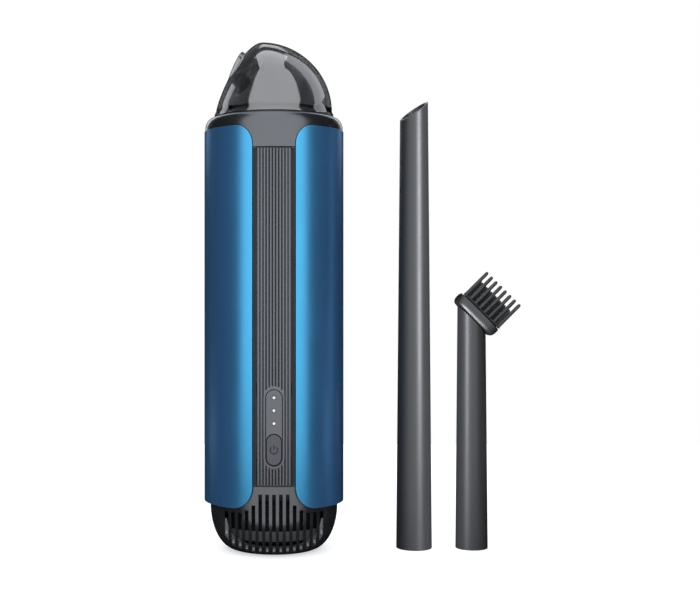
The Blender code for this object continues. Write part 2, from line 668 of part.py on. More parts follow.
def make_motor(body, rotor):
    low, high = MOUNT_SEAT_Z + GAP, MOUNT_SEAT_Z + GAP + MOUNT_HEIGHT
    add_piece("motor_mount", tube(NECK_R, MOUNT_IN_R, low, high), "rubber", body)
    inner_r = MOTOR_HOUSING_R - MOTOR_WALL
    plate_low = MOUNT_SEAT_Z - DIFFUSER_T
    flange_top = MOTOR_FLANGE_Z + MOTOR_FLANGE_T
    profile = [(NECK_R, flange_top), (NECK_R, MOTOR_FLANGE_Z), (MOTOR_HOUSING_R, MOTOR_FLANGE_Z),
               (MOTOR_HOUSING_R, MOTOR_HOUSING_BOTTOM_Z), (inner_r, MOTOR_HOUSING_BOTTOM_Z), (inner_r, plate_low),
               (CAN_R + GAP, plate_low), (CAN_R + GAP, MOUNT_SEAT_Z), (inner_r, MOUNT_SEAT_Z), (inner_r, flange_top)]
    casing = add_piece("motor_housing", turned(profile), "inner plastic", body)
    window_r = (inner_r - CAN_R) / 2 - 1.5
    cut(casing, "cutter_diffuser_windows",
        ring_of(8, (inner_r + CAN_R) / 2, rod(window_r, plate_low - 1, MOUNT_SEAT_Z + 1, 8)))

    plate_z = CAN_TOP_Z - BEARING_T - 0.2
    can_in_r = CAN_R - CAN_WALL
    can_floor = CAN_BOTTOM_Z + CAN_WALL
    shaft_hole = SHAFT_R + 0.7
    add_piece("motor_can",
              turned([(CAN_R, CAN_TOP_Z), (CAN_R, CAN_BOTTOM_Z), (shaft_hole, CAN_BOTTOM_Z), (shaft_hole, can_floor),
                      (can_in_r, can_floor), (can_in_r, CAN_TOP_Z)], 32), "steel", body)
    add_piece("motor_end_plate", tube(can_in_r - GAP, BEARING_R + GAP, plate_z, plate_z + BEARING_T, 32),
              "steel", body)
    bearing_hole = SHAFT_R + GAP
    add_piece("upper_bearing", tube(BEARING_R, bearing_hole, plate_z, plate_z + BEARING_T, 16), "steel", body)
    add_piece("lower_bearing", tube(BEARING_R, bearing_hole, can_floor + GAP, can_floor + GAP + BEARING_T, 16),
              "steel", body)
    magnet_z = (can_floor + plate_z) / 2 - MAGNET_LENGTH / 2
    add_piece("stator", tube(can_in_r - GAP, MAGNET_R + 0.7, magnet_z, magnet_z + MAGNET_LENGTH, 32), "copper", body)

    add_piece("rotor_magnet", tube(MAGNET_R, bearing_hole, magnet_z + 0.5, magnet_z + MAGNET_LENGTH - 0.5, 24),
              "steel", rotor)
    add_piece("motor_shaft", rod(SHAFT_R, CAN_BOTTOM_Z - 1.5, IMPELLER_Z + BLADE_HEIGHT + 1.0, 16), "steel", rotor)
    make_impeller(rotor)

    shroud_top = SHROUD_Z + SHROUD_HEIGHT
    add_piece("fan_shroud",
              turned([(MOTOR_HOUSING_R, shroud_top), (MOTOR_HOUSING_R, SHROUD_Z), (inner_r, SHROUD_Z),
                      (inner_r, shroud_top - SHROUD_T), (FAN_EYE_R, shroud_top - SHROUD_T), (FAN_EYE_R, shroud_top)]),
              "inner plastic", body)
    add_piece("shroud_seal", tube(FILTER_SEAT_R + 2.2, FILTER_SEAT_R - 1.0, shroud_top + GAP,
                                  FILTER_SEAT_Z - FILTER_SEAT_T - GAP, 32), "rubber", body)


def make_impeller(rotor):
    """Open centrifugal wheel: a disc with a hub and swept blades."""
    disc_top = IMPELLER_Z + 1.2
    hub_r, hole = 5.0, SHAFT_R + GAP
    wheel = add_piece("impeller",
                      turned([(hub_r, IMPELLER_Z + BLADE_HEIGHT), (hub_r, disc_top), (IMPELLER_R, disc_top),
                              (IMPELLER_R, IMPELLER_Z), (hole, IMPELLER_Z), (hole, IMPELLER_Z + BLADE_HEIGHT)], 36),
                      "white", rotor)
    blades = []
    for i in range(BLADE_COUNT):
        start = 2 * math.pi * i / BLADE_COUNT
        columns = []
        for step in range(4):
            share = step / 3
            radius = 6.5 + (IMPELLER_R - 7.0) * share
            angle = start - 0.9 * share
            half = 0.45 / radius
            top = IMPELLER_Z + BLADE_HEIGHT - 2.0 * share
            columns.append([polar(radius, angle - half, disc_top - 0.6), polar(radius, angle + half, disc_top - 0.6),
                            polar(radius, angle + half, top), polar(radius, angle - half, top)])
        blades.append(loft(columns))
    unite(wheel, "guide_blades", joined(blades))


# ---------------------------------------------------------------- dust cup


def left_share(height_share):
    """The mouth side of the dome leans in sooner than the round side."""
    return max(1 - height_share**1.25, 0.0) ** 0.64


def dome_ring(turn, wall, segments):
    """One level of the dome; its left half is a shorter ellipse than its right half."""
    lift = math.sin(turn)
    shrink = math.cos(turn)
    radius = (CUP_R - wall) * shrink
    centre = CUP_APEX_X * (1 - shrink)
    left = (CUP_R - wall + CUP_APEX_X) * left_share(lift) - CUP_APEX_X * shrink
    z = CUP_BASE_Z + (CUP_HEIGHT - wall) * lift
    ring = []
    for i in range(segments):
        angle = 2 * math.pi * i / segments
        reach = radius if math.cos(angle) >= 0 else left
        ring.append((centre + reach * math.cos(angle), radius * math.sin(angle), z))
    return ring


def mouth_centre():
    share = MOUTH_HEIGHT / CUP_HEIGHT
    edge = CUP_APEX_X - (CUP_R + CUP_APEX_X) * left_share(share)
    return Vector((edge - MOUTH_PROUD, 0, CUP_BASE_Z + MOUTH_HEIGHT))


def mouth_frame():
    """Local +Z runs out of the mouth, local +X points up across it, and the origin is the mouth's centre."""
    out = Vector((-math.cos(MOUTH_ANGLE), 0, math.sin(MOUTH_ANGLE)))
    across = Vector((math.sin(MOUTH_ANGLE), 0, math.cos(MOUTH_ANGLE)))
    side = out.cross(across)
    frame = Matrix((across, side, out)).transposed().to_4x4()
    return Matrix.Translation(mouth_centre()) @ frame


def lip_sphere():
    middle = mouth_centre() + LIP_ARC_BACK * Vector((math.cos(LIP_ARC_ANGLE), 0, -math.sin(LIP_ARC_ANGLE)))
    steps = [math.pi * (i + 0.5) / 16 for i in range(16)]
    profile = [(LIP_ARC_R * math.sin(a), -LIP_ARC_R * math.cos(a)) for a in steps]
    upright = turned(profile, SEGMENTS, closed=False)
    return moved(upright, Matrix.Translation(middle) @ Matrix.Rotation(math.pi / 2, 4, "X"))


def make_dust_cup(cup):
    turns = [math.radians(angle) for angle in (0, 14, 28, 40, 52, 62, 71, 79, 85)]
    segments = SEGMENTS
    flange_low = SEAM_Z + GAP
    rings = [circle(SKIRT_R, SKIRT_Z, segments), circle(SKIRT_R, flange_low, segments),
             circle(CUP_FLANGE_R, flange_low, segments), circle(CUP_FLANGE_R, flange_low + CUP_FLANGE_T, segments)]
    rings += [dome_ring(turn, 0.0, segments) for turn in turns]
    outside = loft(rings)
    dome = add_piece("dust_cup", outside, "smoked clear", cup)
    frame = mouth_frame()
    snout = add_mesh("guide_snout", moved(rod(MOUTH_BORE_R + MOUTH_WALL, -MOUTH_TUBE_DEPTH, 5, 36), frame),
                     cup["origin_mm"])
    snout.parent = cup
    snout.location = (0, 0, 0)
    snout.hide_render = True
    snout.display_type = "WIRE"
    combine(snout, "guide_lip_sphere", lip_sphere(), "INTERSECT")
    hollow = [circle(SKIRT_IN_R, SKIRT_Z - 1, segments), circle(SKIRT_IN_R, flange_low + CUP_FLANGE_T, segments)]
    hollow += [dome_ring(turn, CUP_WALL, segments) for turn in turns]
    cut(dome, "cutter_cup_hollow", loft(hollow))
    union = dome.modifiers.new("guide_snout", "BOOLEAN")
    union.operation = "UNION"
    union.solver = "EXACT"
    union.object = snout
    ear_low = MOUTH_BORE_R + MOUTH_WALL - 0.6
    ear_high = ear_low + 3.8
    ears = []
    for side in (-1, 1):
        inner = side * (KNUCKLE_WIDTH / 2 + GAP)
        outer = side * (KNUCKLE_WIDTH / 2 + GAP + EAR_T)
        y0, y1 = sorted((inner, outer))
        ears.append(moved(block((ear_low - 2.0, y0, -MOUTH_TUBE_DEPTH - 3.4), (ear_high, y1, -MOUTH_TUBE_DEPTH + 2)),
                          frame))
    unite(dome, "guide_ears", joined(ears))
    cut(dome, "cutter_mouth_bore", moved(rod(MOUTH_BORE_R, -MOUTH_TUBE_DEPTH - 0.2, 12, 36), frame))
    cut(dome, "cutter_flap_space",
        moved(rod(MOUTH_BORE_R, -MOUTH_TUBE_DEPTH - 4.5, -MOUTH_TUBE_DEPTH + 0.5, 36), frame))
    pin_frame = flap_pin_frame()
    cut(dome, "cutter_ear_holes", moved(rod(FLAP_PIN_R + GAP, -12, 12, 12), pin_frame))
    add_piece("flap_pin", moved(rod(FLAP_PIN_R, -KNUCKLE_WIDTH / 2 - GAP - EAR_T, KNUCKLE_WIDTH / 2 + GAP + EAR_T, 12),
                                pin_frame), "steel", cup)
    stop_in_r = MOUTH_BORE_R - GAP - STOP_WALL
    add_piece("inlet_socket",
              moved(tube(MOUTH_BORE_R - GAP, stop_in_r, -MOUTH_TUBE_DEPTH + GAP, -NOZZLE_STOP_DEPTH, 36), frame),
              "inner plastic", cup)
    step_r = SKIRT_IN_R + 0.6
    add_piece("cup_gasket", tube(SKIRT_R, step_r, SKIRT_Z - GAP - GASKET_T, SKIRT_Z - GAP), "rubber", cup)


def flap_pin_local():
    """Pin centre in the mouth frame: above the bore and just behind the tube's end."""
    return Vector((MOUTH_BORE_R + 1.1, 0, -MOUTH_TUBE_DEPTH - 2.0))


def flap_pin_frame():
    return mouth_frame() @ Matrix.Translation(flap_pin_local()) @ Matrix.Rotation(math.pi / 2, 4, "X")


def make_flap(flap):
    frame = mouth_frame()
    face = -MOUTH_TUBE_DEPTH - GAP
    disc = add_piece("inlet_flap", moved(rod(FLAP_R, face - FLAP_T, face, 28), frame), "rubber", flap)
    half = KNUCKLE_WIDTH / 2
    web = block((FLAP_R - 1.6, -half, face - FLAP_T - 0.6), (flap_pin_local().x, half, face - 0.2))
    unite(disc, "guide_flap_web", moved(web, frame))
    unite(disc, "guide_knuckle", moved(rod(KNUCKLE_R, -half + 0.4, half - 0.4, 12), flap_pin_frame()))
    cut(disc, "cutter_flap_hole", moved(rod(FLAP_PIN_R + GAP, -12, 12, 12), flap_pin_frame()))


# ---------------------------------------------------------------- filter


def make_filter(group):
    rim_low = FILTER_SEAT_Z + GAP
    rim_top = rim_low + FILTER_RIM_T
    cap_top = rim_low + FILTER_HEIGHT
    cap_low = cap_top - FILTER_TOP_T
    post_r = PLEAT_OUT_R + GAP
    cap_r = post_r + POST_T + 0.3
    cage = add_piece("filter_frame", tube(FILTER_RIM_R, PLEAT_OUT_R - PLEAT_DEPTH - 1.7, rim_low, rim_top, 36),
                     "inner plastic", group)
    unite(cage, "guide_filter_top", turned([(cap_r, cap_low), (cap_r, cap_top)], 36, False))
    post = block((0, -1.2, rim_top - 0.5), (POST_T, 1.2, cap_low + 0.5))
    unite(cage, "guide_filter_posts", ring_of(6, post_r, post))
    pleat_low, pleat_high = rim_top + GAP, cap_low - GAP
    rings = []
    for offset, z in ((0, pleat_high), (0, pleat_low), (PLEAT_T, pleat_low), (PLEAT_T, pleat_high)):
        rings.append([polar(PLEAT_OUT_R - offset - (PLEAT_DEPTH if i % 2 else 0), math.pi * i / PLEAT_COUNT, z)
                      for i in range(2 * PLEAT_COUNT)])
    add_piece("filter_pleats", loft(rings, closed=True), "white", group)
    screen_r = cap_r + GAP
    add_piece("filter_screen", tube(screen_r + SCREEN_T, screen_r, rim_top + GAP, cap_top - 0.2, 36), "steel", group)


# ---------------------------------------------------------------- nozzles


def make_crevice_nozzle(group):
    """Long tapered tube with a slanted tip."""
    def level(radius_of, share, wall):
        radius = radius_of - wall
        ring = []
        for i in range(36):
            x, y, _ = polar(radius, 2 * math.pi * i / 36, 0)
            top = CREVICE_LENGTH + CREVICE_TIP_SLOPE * x + CREVICE_TIP_TURN * y
            ring.append((CREVICE_X + x, y, top * share))
        return ring
    rings = [level(NOZZLE_R, 0.0, 0.0), level(NOZZLE_TIP_R, 1.0, 0.0),
             level(NOZZLE_TIP_R, 1.0, NOZZLE_WALL), level(NOZZLE_R, 0.0, NOZZLE_WALL)]
    add_piece("crevice_nozzle", loft(rings, closed=True), "nozzle plastic", group)


def head_frame():
    """Brush head's frame: local +Z is its outward normal at 45 degrees, local +X its long side."""
    normal = Vector((1, 0, 1)).normalized()
    along = Vector((1, 0, -1)).normalized()
    side = normal.cross(along)
    frame = Matrix((along, side, normal)).transposed().to_4x4()
    return Matrix.Translation((BRUSH_X, 0, HEAD_Z)) @ frame


def rounded_oblong(length, width, z, segments=32):
    """Superellipse outline, nearly a rectangle with round ends."""
    ring = []
    for i in range(segments):
        angle = 2 * math.pi * i / segments
        c, s = math.cos(angle), math.sin(angle)
        ring.append((math.copysign(abs(c) ** 0.5, c) * length / 2, math.copysign(abs(s) ** 0.5, s) * width / 2, z))
    return ring


def make_brush_nozzle(group):
    head = head_frame()
    seat_gap = GAP * math.sqrt(2)

    def level(radius, at_top):
        ring = []
        for i in range(32):
            x, y, _ = polar(radius, 2 * math.pi * i / 32, 0)
            ring.append((BRUSH_X + x, y, (HEAD_Z - x - seat_gap) if at_top else 0.0))
        return ring
    rings = [level(BRUSH_BASE_R, False), level(NOZZLE_TIP_R, True),
             level(NOZZLE_TIP_R - NOZZLE_WALL, True), level(BRUSH_BASE_R - NOZZLE_WALL, False)]
    add_piece("brush_tube", loft(rings, closed=True), "nozzle plastic", group)

    chamfer = 0.6
    outline = [rounded_oblong(HEAD_LENGTH - 2 * chamfer, HEAD_WIDTH - 2 * chamfer, 0.0),
               rounded_oblong(HEAD_LENGTH, HEAD_WIDTH, chamfer),
               rounded_oblong(HEAD_LENGTH, HEAD_WIDTH, HEAD_T - chamfer),
               rounded_oblong(HEAD_LENGTH - 2 * chamfer, HEAD_WIDTH - 2 * chamfer, HEAD_T)]
    collar = add_piece("brush_collar", moved(loft(outline), head), "nozzle plastic", group)
    spigot_r = NOZZLE_TIP_R - NOZZLE_WALL - GAP
    at_axis = Matrix.Translation((BRUSH_X, 0, 0))
    unite(collar, "guide_spigot", moved(rod(spigot_r, HEAD_Z - SPIGOT_DEPTH, HEAD_Z + 2.5, 24), at_axis))
    cut(collar, "cutter_spigot_bore",
        moved(rod(spigot_r - NOZZLE_WALL, HEAD_Z - SPIGOT_DEPTH - 1, HEAD_Z + 4.0, 24), at_axis))
    slot_length = HEAD_LENGTH - 9.0
    slot = loft([rounded_oblong(slot_length, 2 * SLOT_HALF_WIDTH, z, 24) for z in (2.4, 12)])
    cut(collar, "cutter_head_slot", moved(slot, head))
    make_bristle_bars(group, head)


def make_bristle_bars(group, head):
    """A bar of long tufts in front of the slot, and one with two staggered rows of short tufts behind it."""
    bar_low = HEAD_T + GAP
    bars = (("front_bristles", -1, ((0.0, TUFT_COUNT, TUFT_LENGTH),)),
            ("rear_bristles", 1, ((-SHORT_ROW_PITCH / 2, TUFT_COUNT - 1, SHORT_TUFT_LENGTH),
                                  (SHORT_ROW_PITCH / 2, TUFT_COUNT, SHORT_TUFT_LENGTH))))
    for name, side, rows in bars:
        place = head @ Matrix.Translation((0, side * BAR_Y, 0))
        bar = loft([rounded_oblong(BAR_LENGTH, BAR_WIDTH, bar_low), rounded_oblong(BAR_LENGTH, BAR_WIDTH, bar_low + BAR_T)])
        bristles = add_piece(name, moved(bar, place), "rubber", group)
        tufts = []
        for row_y, count, length in rows:
            for i in range(count):
                at = Matrix.Translation(((i - (count - 1) / 2) * TUFT_PITCH, row_y, 0))
                tufts.append(moved(rod(TUFT_R, bar_low + BAR_T / 2, HEAD_T + length, 6), place @ at))
        unite(bristles, "guide_tufts_" + name, joined(tufts))


# ---------------------------------------------------------------- assembly


def build():
    for old in list(bpy.data.objects):
        bpy.data.objects.remove(old, do_unlink=True)
    body = add_group("housing_group", (0.0, 0.0, 0.0))
    make_housing(body)
    make_panels(body)
    make_strips(body)
    make_exhaust_cap(body)
    make_collar(body)
    make_indicator(body)
    make_boards(body)
    make_battery(body)
    make_motor(body, add_group("rotor_group", (0.0, 0.0, IMPELLER_Z), body))
    make_button(add_group("button_group", (0.0, -PLATE_FRONT, button_centre_z()), body))
    make_filter(add_group("filter_group", (0.0, 0.0, FILTER_SEAT_Z), body))
    cup = add_group("cup_group", (0.0, 0.0, SEAM_Z), body)
    make_dust_cup(cup)
    make_flap(add_group("flap_group", tuple(mouth_frame() @ flap_pin_local()), cup))
    make_crevice_nozzle(add_group("crevice_group", (CREVICE_X, 0.0, 0.0)))
    make_brush_nozzle(add_group("brush_group", (BRUSH_X, 0.0, 0.0)))


build()
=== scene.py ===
import math

import bmesh
import bpy
from mathutils import Matrix, Vector


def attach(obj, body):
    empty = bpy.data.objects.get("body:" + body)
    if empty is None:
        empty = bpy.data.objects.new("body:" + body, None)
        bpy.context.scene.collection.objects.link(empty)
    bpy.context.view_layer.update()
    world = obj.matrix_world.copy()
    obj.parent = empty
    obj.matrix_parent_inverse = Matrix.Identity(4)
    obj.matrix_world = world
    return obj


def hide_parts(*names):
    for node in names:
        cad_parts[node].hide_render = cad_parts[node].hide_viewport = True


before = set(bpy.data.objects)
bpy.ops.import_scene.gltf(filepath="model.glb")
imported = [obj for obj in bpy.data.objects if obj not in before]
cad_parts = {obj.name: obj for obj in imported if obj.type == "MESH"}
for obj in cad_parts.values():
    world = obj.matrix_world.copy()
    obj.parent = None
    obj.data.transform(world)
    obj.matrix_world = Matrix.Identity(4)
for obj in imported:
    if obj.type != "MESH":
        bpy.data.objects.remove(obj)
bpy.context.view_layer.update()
MM = 0.001

# ------------------------------------------------------------------ camera
# A level camera on a long lens in front of the button, at the height of the middle of the housing.
# The shift puts the vacuum left of the middle, so that the two nozzles on its right are in the frame.
CAMERA_BACK = 600
CAMERA_HEIGHT = 121.3
CAMERA_LENS = 62.97
CAMERA_SHIFT = 0.1086

camera = bpy.data.objects.new("studio_camera", bpy.data.cameras.new("studio_camera"))
bpy.context.scene.collection.objects.link(camera)
camera.data.sensor_width = 36
camera.data.lens = CAMERA_LENS
camera.data.shift_x = CAMERA_SHIFT
camera.data.clip_start, camera.data.clip_end = 0.01, 50
camera.location = (0, -CAMERA_BACK * MM, CAMERA_HEIGHT * MM)
camera.rotation_euler = (math.radians(90), 0, 0)
bpy.context.scene.camera = camera
bpy.context.scene.view_settings.view_transform = "Standard"

# ------------------------------------------------------------------ studio
# A white table with wide soft boxes in front and above, and tall soft boxes behind the sides.
# Dark cards left, right, behind and on the table give the skin its dark bands, and nothing but gloss sees them.
BACKDROP_WHITE = 1.0
ROOM_FILL = 0.22
FLOOR_WHITE = 0.8
FLOOR_LIFT = 0.6
CARD_GREY = 0.012
BOX_TINT = (0.95, 0.98, 1.04)
slot_of = {}  # the material slot of the frame that each material fills


def maths(tree, operation, *values):
    node = tree.nodes.new("ShaderNodeMath")
    node.operation = operation
    for socket, value in zip(node.inputs, values):
        if isinstance(value, (int, float)):
            socket.default_value = value
        else:
            tree.links.new(value, socket)
    return node.outputs[0]


def white_to_the_eye(tree):
    """1 for camera, glossy and transmission rays, and 0 for the rest."""
    rays = tree.nodes.new("ShaderNodeLightPath").outputs
    seen = maths(tree, "MAXIMUM", rays["Is Camera Ray"], rays["Is Glossy Ray"])
    return maths(tree, "MAXIMUM", seen, rays["Is Transmission Ray"])


def new_finish(name, slot=None, **sockets):
    """A new material with plain values on its shader; gives the material, its node tree and the shader."""
    material = bpy.data.materials.new(name)
    material.use_nodes = True
    slot_of[material.name] = slot
    shader = material.node_tree.nodes["Principled BSDF"]
    for socket, value in sockets.items():
        shader.inputs[socket.replace("_", " ")].default_value = value
    return material, material.node_tree, shader


world = bpy.data.worlds.new("studio_world")
bpy.context.scene.world = world
world.use_nodes = True
tree = world.node_tree
either = tree.nodes.new("ShaderNodeMixShader")
tree.links.new(white_to_the_eye(tree), either.inputs[0])
for place, node, strength in ((1, tree.nodes["Background"], ROOM_FILL),
                              (2, tree.nodes.new("ShaderNodeBackground"), BACKDROP_WHITE)):
    node.inputs["Color"].default_value = (1, 1, 1, 1)
    node.inputs["Strength"].default_value = strength
    tree.links.new(node.outputs[0], either.inputs[place])
tree.links.new(either.outputs[0], tree.nodes["World Output"].inputs["Surface"])


def upright_sheet(name, low, high):
    """A flat stage sheet between two opposite corners; it is upright where the corners differ in height."""
    (x0, y0, z0), (x1, y1, z1) = low, high
    flat = z0 == z1
    corners = [(x0, y0, z0), (x1, y0 if flat else y1, z0), (x1, y1, z1), (x0, y1 if flat else y0, z1)]
    mesh = bpy.data.meshes.new(name)
    mesh.from_pydata([Vector(corner) * MM for corner in corners], [], [(0, 1, 2, 3)])
    sheet = bpy.data.objects.new(name, mesh)
    bpy.context.scene.collection.objects.link(sheet)
    return sheet


floor = upright_sheet("studio_floor", (-800, -800, 0), (800, 430, 0))
paper, tree, shader = new_finish("white_paper_sweep", Base_Color=(FLOOR_WHITE, FLOOR_WHITE, FLOOR_WHITE, 1),
                                 Roughness=0.9, Specular_IOR_Level=0.1)
glow, both = tree.nodes.new("ShaderNodeEmission"), tree.nodes.new("ShaderNodeAddShader")
tree.links.new(maths(tree, "MULTIPLY", white_to_the_eye(tree), FLOOR_LIFT), glow.inputs["Strength"])
tree.links.new(shader.outputs[0], both.inputs[0])
tree.links.new(glow.outputs[0], both.inputs[1])
tree.links.new(both.outputs[0], tree.nodes["Material Output"].inputs["Surface"])
floor.data.materials.append(paper)

card_black, _, _ = new_finish("black_card", Base_Color=(CARD_GREY, CARD_GREY, CARD_GREY, 1), Roughness=1.0,
                              Specular_IOR_Level=0.0)
for name, low, high in (("card_left", (-260, -200, 1), (-260, 65, 700)),
                        ("card_right", (260, -200, 1), (260, -23, 1000)),
                        ("card_far_left", (-640, -60, 1), (-170, 978, 1200)),
                        ("card_far_right", (640, -60, 1), (170, 978, 1200)),
                        ("card_back", (-170, 978, 1), (170, 978, 1200)),
                        ("card_above", (-500, 225, 1000), (500, 440, 1000)),
                        ("card_above_right", (290, -300, 1000), (560, 225, 1000)),
                        ("card_on_table_left", (-420, -190, 0.4), (-70, 978, 0.4)),
                        ("card_on_table_right", (70, -190, 0.4), (420, 978, 0.4)),
                        ("card_under_bowl", (-70, -60, 0.4), (70, 978, 0.4))):
    card = upright_sheet(name, low, high)
    card.data.materials.append(card_black)
    card.visible_camera = card.visible_diffuse = card.visible_transmission = card.visible_shadow = False

# Some boxes light only the pieces of one collection; the rest light everything.
lit = {name: bpy.data.collections.new("pieces_in_the_" + name + "_light")
       for name in ("rim", "cup", "bowl", "head", "panel", "crevice", "brush")}
lit["rim"].objects.link(floor)


def soft_box(name, place, target, width, height, radiance, lights_only=None):
    """A rectangular soft box that faces the target point; its brightness is given as seen, with 1 for white."""
    lamp = bpy.data.lights.new(name, "AREA")
    lamp.shape = "RECTANGLE"
    lamp.size, lamp.size_y = width * MM, height * MM
    lamp.energy = radiance * math.pi * width * height * MM * MM
    lamp.color = BOX_TINT
    box = bpy.data.objects.new(name, lamp)
    bpy.context.scene.collection.objects.link(box)
    box.location = Vector(place) * MM
    box.rotation_euler = (Vector(target) - Vector(place)).to_track_quat("-Z", "Y").to_euler()
    box.visible_camera = False
    if lights_only:
        box.light_linking.receiver_collection = lit[lights_only]


soft_box("front_box", (0, -760, 665), (0, 0, 665), 1950, 830, 1.15)
soft_box("low_front_box", (0, -760, 70), (0, 0, 70), 1950, 360, 1.4)
soft_box("top_box", (0, -270, 1080), (0, -270, 0), 1950, 980, 1.15)
soft_box("back_box", (0, 940, 520), (0, 0, 320), 330, 1040, 1.6, "rim")
soft_box("head_box", (0, -72, 14), (92, 0, 106), 100, 80, 40, "head")
for side, height, tall in ((-1, 260, 460), (1, 460, 1000)):
    soft_box("bowl_box", (side * 230, 193, 70), (0, 0, 30), 110, 130, 1.0, "bowl")
    soft_box("rear_box", (side * 286, 458, 500), (0, 0, 180), 150, 900, 2.4, "rim")
    soft_box("cup_box", (side * 481, 138, height), (0, 0, 180), 390, tall, 1.1, "cup")
for side in (-1, 1):
    soft_box("edge_box", (side * 330, 330, 480), (0, 0, 180), 160, 560, 0.8, "panel")
soft_box("crevice_strip_box", (430, -540, 150), (68, 0, 110), 230, 700, 31, "crevice")
soft_box("brush_strip_box", (-430, -560, 150), (97, 0, 80), 230, 700, 31, "brush")

# ------------------------------------------------------------------ inner housing
# The load-bearing tube under the panels, moulded in dark glass-filled nylon with a fine spark finish.
# An inner ring carries the motor mount; windows let the button stem, the lights, the socket and the screws through.
PANEL_R, PANEL_T, GAP = 34.0, 1.8, 0.3
SKIN_R = PANEL_R - PANEL_T - GAP
HOUSING_R, HOUSING_BOTTOM, HOUSING_TOP = SKIN_R - 2.0, 34.9, 192.3
MOUNT_SEAT, MOUNT_IN_R = 178.0, HOUSING_R - GAP - 3.1
PLATE_FRONT = 33.1
FINE = 144


def polar(radius, angle, z):
    return (radius * math.cos(angle), radius * math.sin(angle), z)


def circle(radius, z, count=FINE):
    return [polar(radius, 2 * math.pi * i / count, z) for i in range(count)]


def loft(rings, closed=False):
    """Skins rings of equally many points; an open loft gets a cap at each end."""
    count = len(rings[0])
    points = [point for ring in rings for point in ring]
    faces = []
    for i in range(len(rings) if closed else len(rings) - 1):
        here, there = i * count, (i + 1) % len(rings) * count
        for j in range(count):
            k = (j + 1) % count
            faces.append((here + j, here + k, there + k, there + j))
    if not closed:
        faces.append(tuple(range(count)))
        faces.append(tuple(range(len(points) - count, len(points))))
    return points, faces


def turned(profile, count=FINE, closed=True):
    """(radius, z) points turned about Z; an open profile makes a solid."""
    return loft([circle(radius, z, count) for radius, z in profile], closed)


def rod(radius, bottom, top, count=32):
    return turned([(radius, bottom), (radius, top)], count, closed=False)


def pill(width, bottom, top, front, back, steps=20):
    """An upright pill outline, pushed through from front to back along Y."""
    half = width / 2
    outline = []
    for middle, start in ((top - half, 0.0), (bottom + half, math.pi)):
        for i in range(steps + 1):
            angle = start + math.pi * i / steps
            outline.append((half * math.cos(angle), middle + half * math.sin(angle)))
    return loft([[(x, y, z) for x, z in outline] for y in (front, back)])


def moved(shape, matrix):
    return [tuple(matrix @ Vector(point)) for point in shape[0]], shape[1]


def joined(shapes):
    points, faces = [], []
    for shape_points, shape_faces in shapes:
        start = len(points)
        points.extend(shape_points)
        faces.extend(tuple(start + i for i in face) for face in shape_faces)
    return points, faces


def to_front(x, z):
    """Turns a shape's Z axis to the front of the vacuum, at a place on the button's face."""
    return Matrix.Translation((x, 0, z)) @ Matrix.Rotation(math.pi / 2, 4, "X")


def settle(piece):
    """Turns a piece's modifiers into its mesh."""
    bpy.context.view_layer.update()
    mesh = bpy.data.meshes.new_from_object(piece.evaluated_get(bpy.context.evaluated_depsgraph_get()))
    piece.modifiers.clear()
    piece.data = mesh


def form(name, shape):
    mesh = bpy.data.meshes.new(name)
    mesh.from_pydata([Vector(point) * MM for point in shape[0]], [], shape[1])
    work = bmesh.new()
    work.from_mesh(mesh)
    bmesh.ops.recalc_face_normals(work, faces=work.faces)
    work.to_mesh(mesh)
    work.free()
    piece = bpy.data.objects.new(name, mesh)
    bpy.context.scene.collection.objects.link(piece)
    return piece


def carve(piece, shape, operation="DIFFERENCE"):
    """Cuts a shape out of a piece, or joins it on with UNION."""
    tool = form("carving_tool", shape)
    modifier = piece.modifiers.new("carve", "BOOLEAN")
    modifier.operation, modifier.solver, modifier.object = operation, "EXACT", tool
    settle(piece)
    bpy.data.objects.remove(tool)


def soften(piece, width, steps=2, angle=35):
    """Rounds the edges of a moulding and shades it smooth, with its flats left flat."""
    if width:
        bevel = piece.modifiers.new("rounded_edges", "BEVEL")
        bevel.width, bevel.segments = width * MM, steps
        bevel.limit_method, bevel.angle_limit = "ANGLE", math.radians(angle)
        bevel.miter_outer = "MITER_ARC"
        settle(piece)
    piece.data.shade_smooth()
    piece.data.set_sharp_from_angle(angle=math.radians(angle))
    piece.modifiers.new("flats_stay_flat", "WEIGHTED_NORMAL").keep_sharp = True
    settle(piece)


def made(name, shape, rounding, material, *nodes, join=(), cut=(), body="housing"):
    """Makes a named piece from a shape, or takes a piece that is already made, and finishes it.

    Tools are joined on first and cut out after; the nodes are the CAD nodes that the piece stands for.
    """
    piece = shape if name is None else form(name, shape)
    for operation, tools in (("UNION", join), ("DIFFERENCE", cut)):
        for tool in tools:
            carve(piece, tool, operation)
    soften(piece, *(rounding if isinstance(rounding, tuple) else (rounding,)))
    piece.data.materials.clear()
    piece.data.materials.append(material)
    slot = slot_of[material.name]
    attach(piece, body)
    lit[{"panel_blue": "panel", "smoke_clear": "cup"}.get(slot, "rim")].objects.link(piece)
    if slot == "nozzle_grey":
        lit[body].objects.link(piece)
    if nodes:
        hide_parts(*nodes)
    return piece


def group_of(name, inputs, outputs):
    """A new shader node group with named number inputs and outputs."""
    group = bpy.data.node_groups.new(name, "ShaderNodeTree")
    for socket, value in inputs:
        group.interface.new_socket(socket, in_out="INPUT", socket_type="NodeSocketFloat").default_value = value
    for socket in outputs:
        group.interface.new_socket(socket, in_out="OUTPUT", socket_type="NodeSocketFloat")
    return group, group.nodes.new("NodeGroupInput").outputs, group.nodes.new("NodeGroupOutput").inputs


def own_place(tree):
    return tree.nodes.new("ShaderNodeTexCoord").outputs["Object"]


